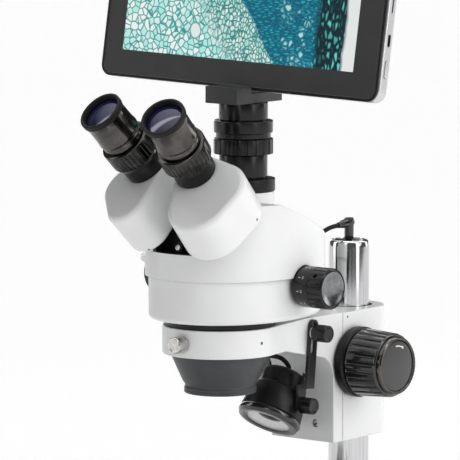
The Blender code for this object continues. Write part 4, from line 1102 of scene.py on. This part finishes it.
def build_tube(side, word):
    """One side: enamelled prism housing, eye tube, ribbed diopter ring, eyepiece and its lens."""
    tube, dial = f"tube_{word}", f"diopter_{word}"
    axis = joint_axis(f"eye_spacing_{word}")
    up = Vector((0, 1, 1)).normalized()
    turn = Matrix((up.cross(axis), up, axis)).transposed().to_4x4()
    where = WORLD @ shift(joint_point(f"eye_spacing_{word}")) @ turn
    lobes = TUBE_LOBES[word]
    depth, rim, wall = 37.5, 98.6, 2.5
    ex, ey = lobes[0][:2]
    housing = prism(hull_of_circles(lobes), 0.3, depth, "Z", where)
    soften(housing, 4.0, 8)
    inner = hull_of_circles([(x, y, radius - wall) for x, y, radius in lobes], 72)
    cut(housing, prism(inner, -5.0, depth - 5.0, "Z", where))
    cut(housing, stick(15.2, (ex, ey, depth - 8), (ex, ey, depth + 8), where, 96))
    centre, rise = (lobes[1], 6.0) if side > 0 else (lobes[2], 3.0)
    middle, outward, reach = Vector((*centre[:2], rise)), Vector(TUBE_SCREWS[word]), centre[2]
    cut(housing, stick(1.0, middle + outward * (reach - 2), middle + outward * (reach + 2), where, 24))
    dress(housing, f"prism_housing_{word}", WHITE, tube, f"tube_housing_{word}", weighted=True)

    # Heights from here on are measured from the eyepiece's rim.
    eye = where @ shift((ex, ey, rim))
    foot = depth - 1.5 - rim
    sleeve = lathe([(15.4, -50), (15.4, foot), (12.2, foot), (12.2, -50)], eye, 128, ring=True)
    dress(sleeve, f"eye_tube_{word}", BLACK, tube)
    grip = [(17.0, -31), (18.2, -31.6), (18.6, -32.5), (18.6, -45.5), (17.6, -46.6), (16.4, -49.7),
            (12.2, -49.7), (12.2, -31)]
    ribs = flutes(36, 0.8, -45.2, -32.8, 0.42, 17.0)
    ring = lathe(grip, eye, 288, ring=True, radial=ribs)
    dress(ring, f"diopter_grip_{word}", GRIP_METAL, dial, f"diopter_ring_{word}", sharp=40)
    body = [(0, -5.0), (14.4, -5.0), (14.5, -0.4), (14.8, 0), (16.0, 0), (16.4, -0.6), (16.4, -3.5),
            (15.9, -5.6), (15.7, -8), (15.7, -14), (15.8, -21), (16.2, -22.5), (16.2, -24), (15.7, -25),
            (15.3, -25.4), (15.3, -26.2), (15.7, -26.6), (15.7, -30.6), (11.8, -30.6), (11.8, -60),
            (0, -60)]
    barrel = lathe(body, eye, 160, corner=0.45)
    dress(barrel, f"eyepiece_barrel_{word}", BARREL, dial, f"eyepiece_{word}")
    cup = [(16.6, -0.2), (16.6, -3.6), (16.1, -4.2), (14.5, -4.2), (13.8, -3.4), (14.3, 0.1), (15.0, 0.5),
           (16.1, 0.4)]
    dress(lathe(cup, eye, 160, ring=True, corner=0.5), f"eye_guard_{word}", RUBBER, dial)
    dome = [(0, -1.5), (4, -1.65), (8, -2.2), (11, -2.9), (13.9, -3.8), (13.9, -5.1), (0, -5.1)]
    dress(lathe(dome, eye, 128, corner=0.3), f"eye_lens_{word}", GLASS, dial)


# Camera port and tablet -----------------------------------------------------

def build_port():
    """White port stub with a black flange, the adapter tube, its grip ring and the camera block."""
    where = WORLD @ shift((0, PORT_Y, 0))
    flange = [(23, 258.5), (23, 249.3), (14.5, 249.3), (14.5, 258.5)]
    dress(lathe(flange, where, 144, ring=True, corner=0.6), "port_flange", BLACK, "head")
    stub = [(22.5, 249.1), (22.5, 212), (14.6, 212), (14.6, 249.1)]
    dress(lathe(stub, where, 144, ring=True, corner=0.3), "port_stub", WHITE, "head", "photo_tube")
    barrel = [(17.8, 313.3), (17.8, 301.2), (17.3, 300.8), (21.1, 300.4), (21.5, 299.8), (21.5, 292),
              (21, 291.5), (20, 291.2), (20, 287.9), (15.6, 287.9), (15.6, 275.5), (17.5, 275.5),
              (17.5, 258.8), (14.2, 258.8), (14.2, 225), (10.5, 225), (10.5, 313.3)]
    adapter = lathe(barrel, where, 160, ring=True, corner=0.3)
    cut(adapter, stick(0.9, (-9.5, -16, 306), (-7.5, -12, 306), where, 20))
    dress(adapter, "camera_adapter", SATIN, "camera", "c_mount_tube")
    grip = [(21.2, 287.3), (21.6, 286.9), (21.6, 276.5), (21.2, 276.1), (16, 276.1), (16, 287.3)]
    ring = lathe(grip, where, 240, ring=True, corner=0.3, radial=flutes(20, 0.7, 276.4, 287.0, 0.28, 18.6))
    dress(ring, "adapter_grip_ring", SATIN, "camera_focus", "c_mount_ring", sharp=40)

    low, high = box_mm("camera_box")
    _, y, z = joint_point("tablet_tilt")
    step, top, front_top = 17.5, 320.6, 325.8
    side_view = [(low.y, low.z), (high.y, low.z), (high.y, top), (step, top), (step, front_top),
                 (low.y, front_top)]
    body = prism(side_view, low.x, high.x, "X")
    for side in (-1, 1):
        near, far = sorted((8.3 * side, 13.0 * side))
        join(body, block((near, y - 3.4, 318), (far, y + 3.4, z)), stick(4.4, (near, y, z), (far, y, z)))
    cut(body, stick(2.1, (-20, y, z), (20, y, z)))
    soften(body, 0.6, 3, 50)
    dress(body, "camera_body", CASE, "camera", "camera_box")


def build_tablet():
    """Tablet: silver tray, charcoal bezel with a glossy rim, lit display, side key and hinge leaf."""
    hinge = WORLD @ shift(joint_point("tablet_tilt")) @ spin(-8.5, "X")
    frame = hinge @ spin(1.3, "Y")
    left, right, low, high, back, front = -132.0, 128.0, -12.4, 163.1, -5.0, -16.6
    seam = front + 1.7

    def upright(x_low, z_low, x_high, z_high, radius, near, far):
        return prism(rounded((x_low, z_low), (x_high, z_high), radius, 12), near, far, "Y", frame)

    tray = upright(left, low, right, high, 9.0, seam, back)
    soften(tray, 2.2, 6)
    cut(tray, upright(left + 2, low + 2, right - 2, high - 2, 7.0, seam - 5, back - 1.6))
    key_low, key_high = box_mm("tablet_button")
    key = frame.inverted() @ ((key_low + key_high) / 2.0 * MM)
    outline = rounded((key.y - 1.6, key.z - 6.5), (key.y + 1.6, key.z + 6.5), 1.5)
    cut(tray, prism(outline, right - 4, right + 4, "X", frame))
    for z_low, z_high, wide in ((28.0, 37.0, 1.5), (52.0, 74.0, 0.7)):
        outline = rounded((-10 - wide, z_low), (-10 + wide, z_high), wide * 0.95)
        cut(tray, prism(outline, right - 2.5, right + 4, "X", frame))
    cut(tray, *[stick(0.6, (x, -10, low - 2), (x, -10, low + 2.4), frame, 16) for x in range(60, 84, 3)])
    dress(tray, "tablet_tray", SILVER, "tablet", "tablet_back", weighted=True)

    bezel = upright(left + 0.3, low + 0.3, right - 0.3, high - 0.3, 8.7, front + 0.25, seam - 0.3)
    soften(bezel, 0.25, 2)
    view = (-113.2, 7.9, 103.8, 143.5)
    cut(bezel, upright(*view, 0.4, front - 1, front + 0.7))
    dress(bezel, "tablet_bezel", CHARCOAL, "tablet", "tablet_front", weighted=True)
    edge = upright(left + 0.3, low + 0.3, right - 0.3, high - 0.3, 8.7, front - 0.1, seam - 0.4)
    cut(edge, upright(left + 2.8, low + 2.8, right - 2.8, high - 2.8, 6.2, front - 2, seam + 2))
    soften(edge, 0.4, 3)
    dress(edge, "tablet_edge_rim", GLOSS, "tablet", weighted=True)
    dress(display(frame, view, front + 0.5), "tablet_display", PICTURE, "tablet")

    outline = rounded((key.y - 1.25, key.z - 6.2), (key.y + 1.25, key.z + 6.2), 1.2)
    button = prism(outline, right - 1.4, right + 0.7, "X", frame)
    soften(button, 0.3, 3)
    dress(button, "side_key", SILVER, "side_button", "tablet_button")

    leaf = prism(rounded((-20, 6), (20, 40), 3.0, 8), back + 0.3, back + 1.9, "Y", hinge)
    join(leaf, block((-7.8, back + 0.3, 0), (7.8, back + 3.0, 8), hinge),
         stick(4.4, (-7.8, 0, 0), (7.8, 0, 0), hinge))
    join(leaf, stick(1.8, (-13.4, 0, 0), (13.4, 0, 0), hinge))
    soften(leaf, 0.3, 3, 50)
    dress(leaf, "hinge_plate", DARK, "tablet", "tablet_hinge")
    profile = [(0, 0.5), (0.9, 0.5), (1.0, 1.1), (2.2, 0.9), (2.6, 0.3), (2.6, 0), (0, 0)]
    for i, (x, z) in enumerate(((-14, 14), (14, 14), (-14, 33), (14, 33))):
        spot = hinge @ shift((x, back + 1.8, z)) @ spin(-90, "X")
        dress(lathe(profile, spot, 32, corner=0.2), f"hinge_screw_{i}", NICKEL, "tablet")


def display(frame, view, depth):
    """Thin lit panel with picture coordinates that run left to right and bottom to top."""
    x_low, z_low, x_high, z_high = view
    panel = block((x_low + 0.05, depth, z_low + 0.05), (x_high - 0.05, depth + 0.2, z_high - 0.05), frame)
    layer = panel.data.uv_layers.new(name="picture")
    inverse, height = frame.inverted(), z_high - z_low
    for loop in panel.data.loops:
        point = inverse @ panel.data.vertices[loop.vertex_index].co
        layer.data[loop.index].uv = ((point.x - x_low) / height, (point.z - z_low) / height)
    return panel


# Inner pieces that keep their own shape -------------------------------------

def paint_inner():
    """Looks for the inner nodes that are shown as the CAD has them."""
    looks = {"pinion_shaft": NICKEL, "focus_rack": NICKEL, "zoom_shaft": NICKEL, "driver_board": BOARD,
             "stage_light": LAMP_GLASS}
    for node, look in looks.items():
        obj = frame["nodes"][node]
        obj.data.materials.clear()
        obj.data.materials.append(look)


# Stage, light and camera ----------------------------------------------------

def build_floor():
    bottom = CAD_BOX[0].z
    bm = bmesh.new()
    bmesh.ops.create_grid(bm, x_segments=8, y_segments=8, size=12.0)
    bmesh.ops.translate(bm, verts=bm.verts, vec=(0, 0, bottom - 0.0002))
    floor = to_object(bm)
    floor.name = "floor"
    g = Graph(bpy.data.materials.new("pale_floor"))
    g.set("Base Color", g.mix(g.noise(3.0, 2.0), (0.93, 0.93, 0.93), (0.96, 0.96, 0.96)))
    g.set("Roughness", 0.9)
    g.set("Emission Color", (1.0, 1.0, 1.0))
    g.set("Emission Strength", 0.4)
    floor.data.materials.append(g.owner)


# Diffuse light: a soft lobe towards the key direction, plus a fill that grows with height.
KEY_DIRECTION = tuple(Vector((0.88, 0.32, 0.14)).normalized())
WORLD_KEY, WORLD_FILL, WORLD_RISE = 1.22, 0.03, 0.34


def studio_world():
    """Studio surroundings: white to the eye, brighter from the right rear, banded in reflections."""
    world = bpy.data.worlds.new("studio")
    bpy.context.scene.world = world
    g = Graph(world, "Background", "Generated")
    rays = g.add("ShaderNodeLightPath")
    split = g.add("ShaderNodeSeparateXYZ")
    g.link(g.coords, split.inputs[0])
    x, y, z = split.outputs
    key = g.maths("MAXIMUM", g.vector("DOT_PRODUCT", g.coords, KEY_DIRECTION).outputs["Value"], 0.0)
    fill = g.maths("ADD", g.maths("MULTIPLY", z, WORLD_RISE), WORLD_FILL)
    soft = g.maths("ADD", g.maths("MULTIPLY", key, WORLD_KEY), fill)
    turn = g.maths("ARCTAN2", x, g.maths("MULTIPLY", y, -1.0))
    wave = g.maths("SINE", g.maths("MULTIPLY", turn, 5.0))
    strip = g.maths("MAXIMUM", g.maths("SUBTRACT", g.maths("MULTIPLY", wave, 7.0), 4.0), 0.0)
    top_box = g.maths("MAXIMUM", g.maths("SUBTRACT", g.maths("MULTIPLY", z, 3.0), 1.6), 0.0)
    glossy = g.maths("ADD", g.maths("ADD", strip, g.maths("MULTIPLY", top_box, 0.9)), 0.1)

    def choose(ray, otherwise, chosen):
        node = g.add("ShaderNodeMix")
        for i, value in enumerate((rays.outputs[ray], None, otherwise, chosen)):
            if value is not None:
                g.feed(node.inputs[i], value)
        return node.outputs[0]

    g.set("Strength", choose("Is Camera Ray", choose("Is Glossy Ray", soft, glossy), 1.0))
    g.set("Color", (1.0, 1.0, 1.0))


def build_light():
    """Surroundings, one large soft lamp that casts the faint shadow, and plain colour handling."""
    studio_world()
    light = bpy.data.lights.new("key", "AREA")
    light.shape = "DISK"
    light.size = 1.2
    light.energy = 5.0
    lamp = add_object(light, "key")
    lamp.location = (1.6, 0.5, 0.9)
    aim = Vector((0.0, 0.05, 0.2)) - lamp.location
    lamp.rotation_euler = aim.to_track_quat("-Z", "Y").to_euler()
    settings = bpy.context.scene.view_settings
    settings.view_transform = "Standard"
    settings.look = "None"


def build_camera():
    """Long lens from the front right, looking slightly down."""
    azimuth, elevation = math.radians(39.9), math.radians(6.7)
    camera = add_object(bpy.data.cameras.new("camera"), "camera")
    right = Vector((math.cos(azimuth), math.sin(azimuth), 0))
    back = Vector((math.sin(azimuth) * math.cos(elevation), -math.cos(azimuth) * math.cos(elevation),
                   math.sin(elevation)))
    turn = Matrix((right, back.cross(right), back)).transposed().to_4x4()
    camera.matrix_world = shift((2.390456, -2.848043, 0.659412)) @ turn
    camera.data.sensor_width = 36.0
    camera.data.lens = 406.96
    camera.data.clip_end = 100.0
    bpy.context.scene.camera = camera


for build in (build_base, build_feet, build_stage, build_controls, build_pole, build_cable, build_clamp,
              build_drive, build_holder, build_lamp_bracket, build_lamp, build_nose, build_lower_housing,
              build_upper_housing, build_zoom):
    build()
for side_name in SIDES:
    build_tube(*side_name)
for build in (build_port, build_tablet, paint_inner, build_floor, build_light, build_camera):
    build()
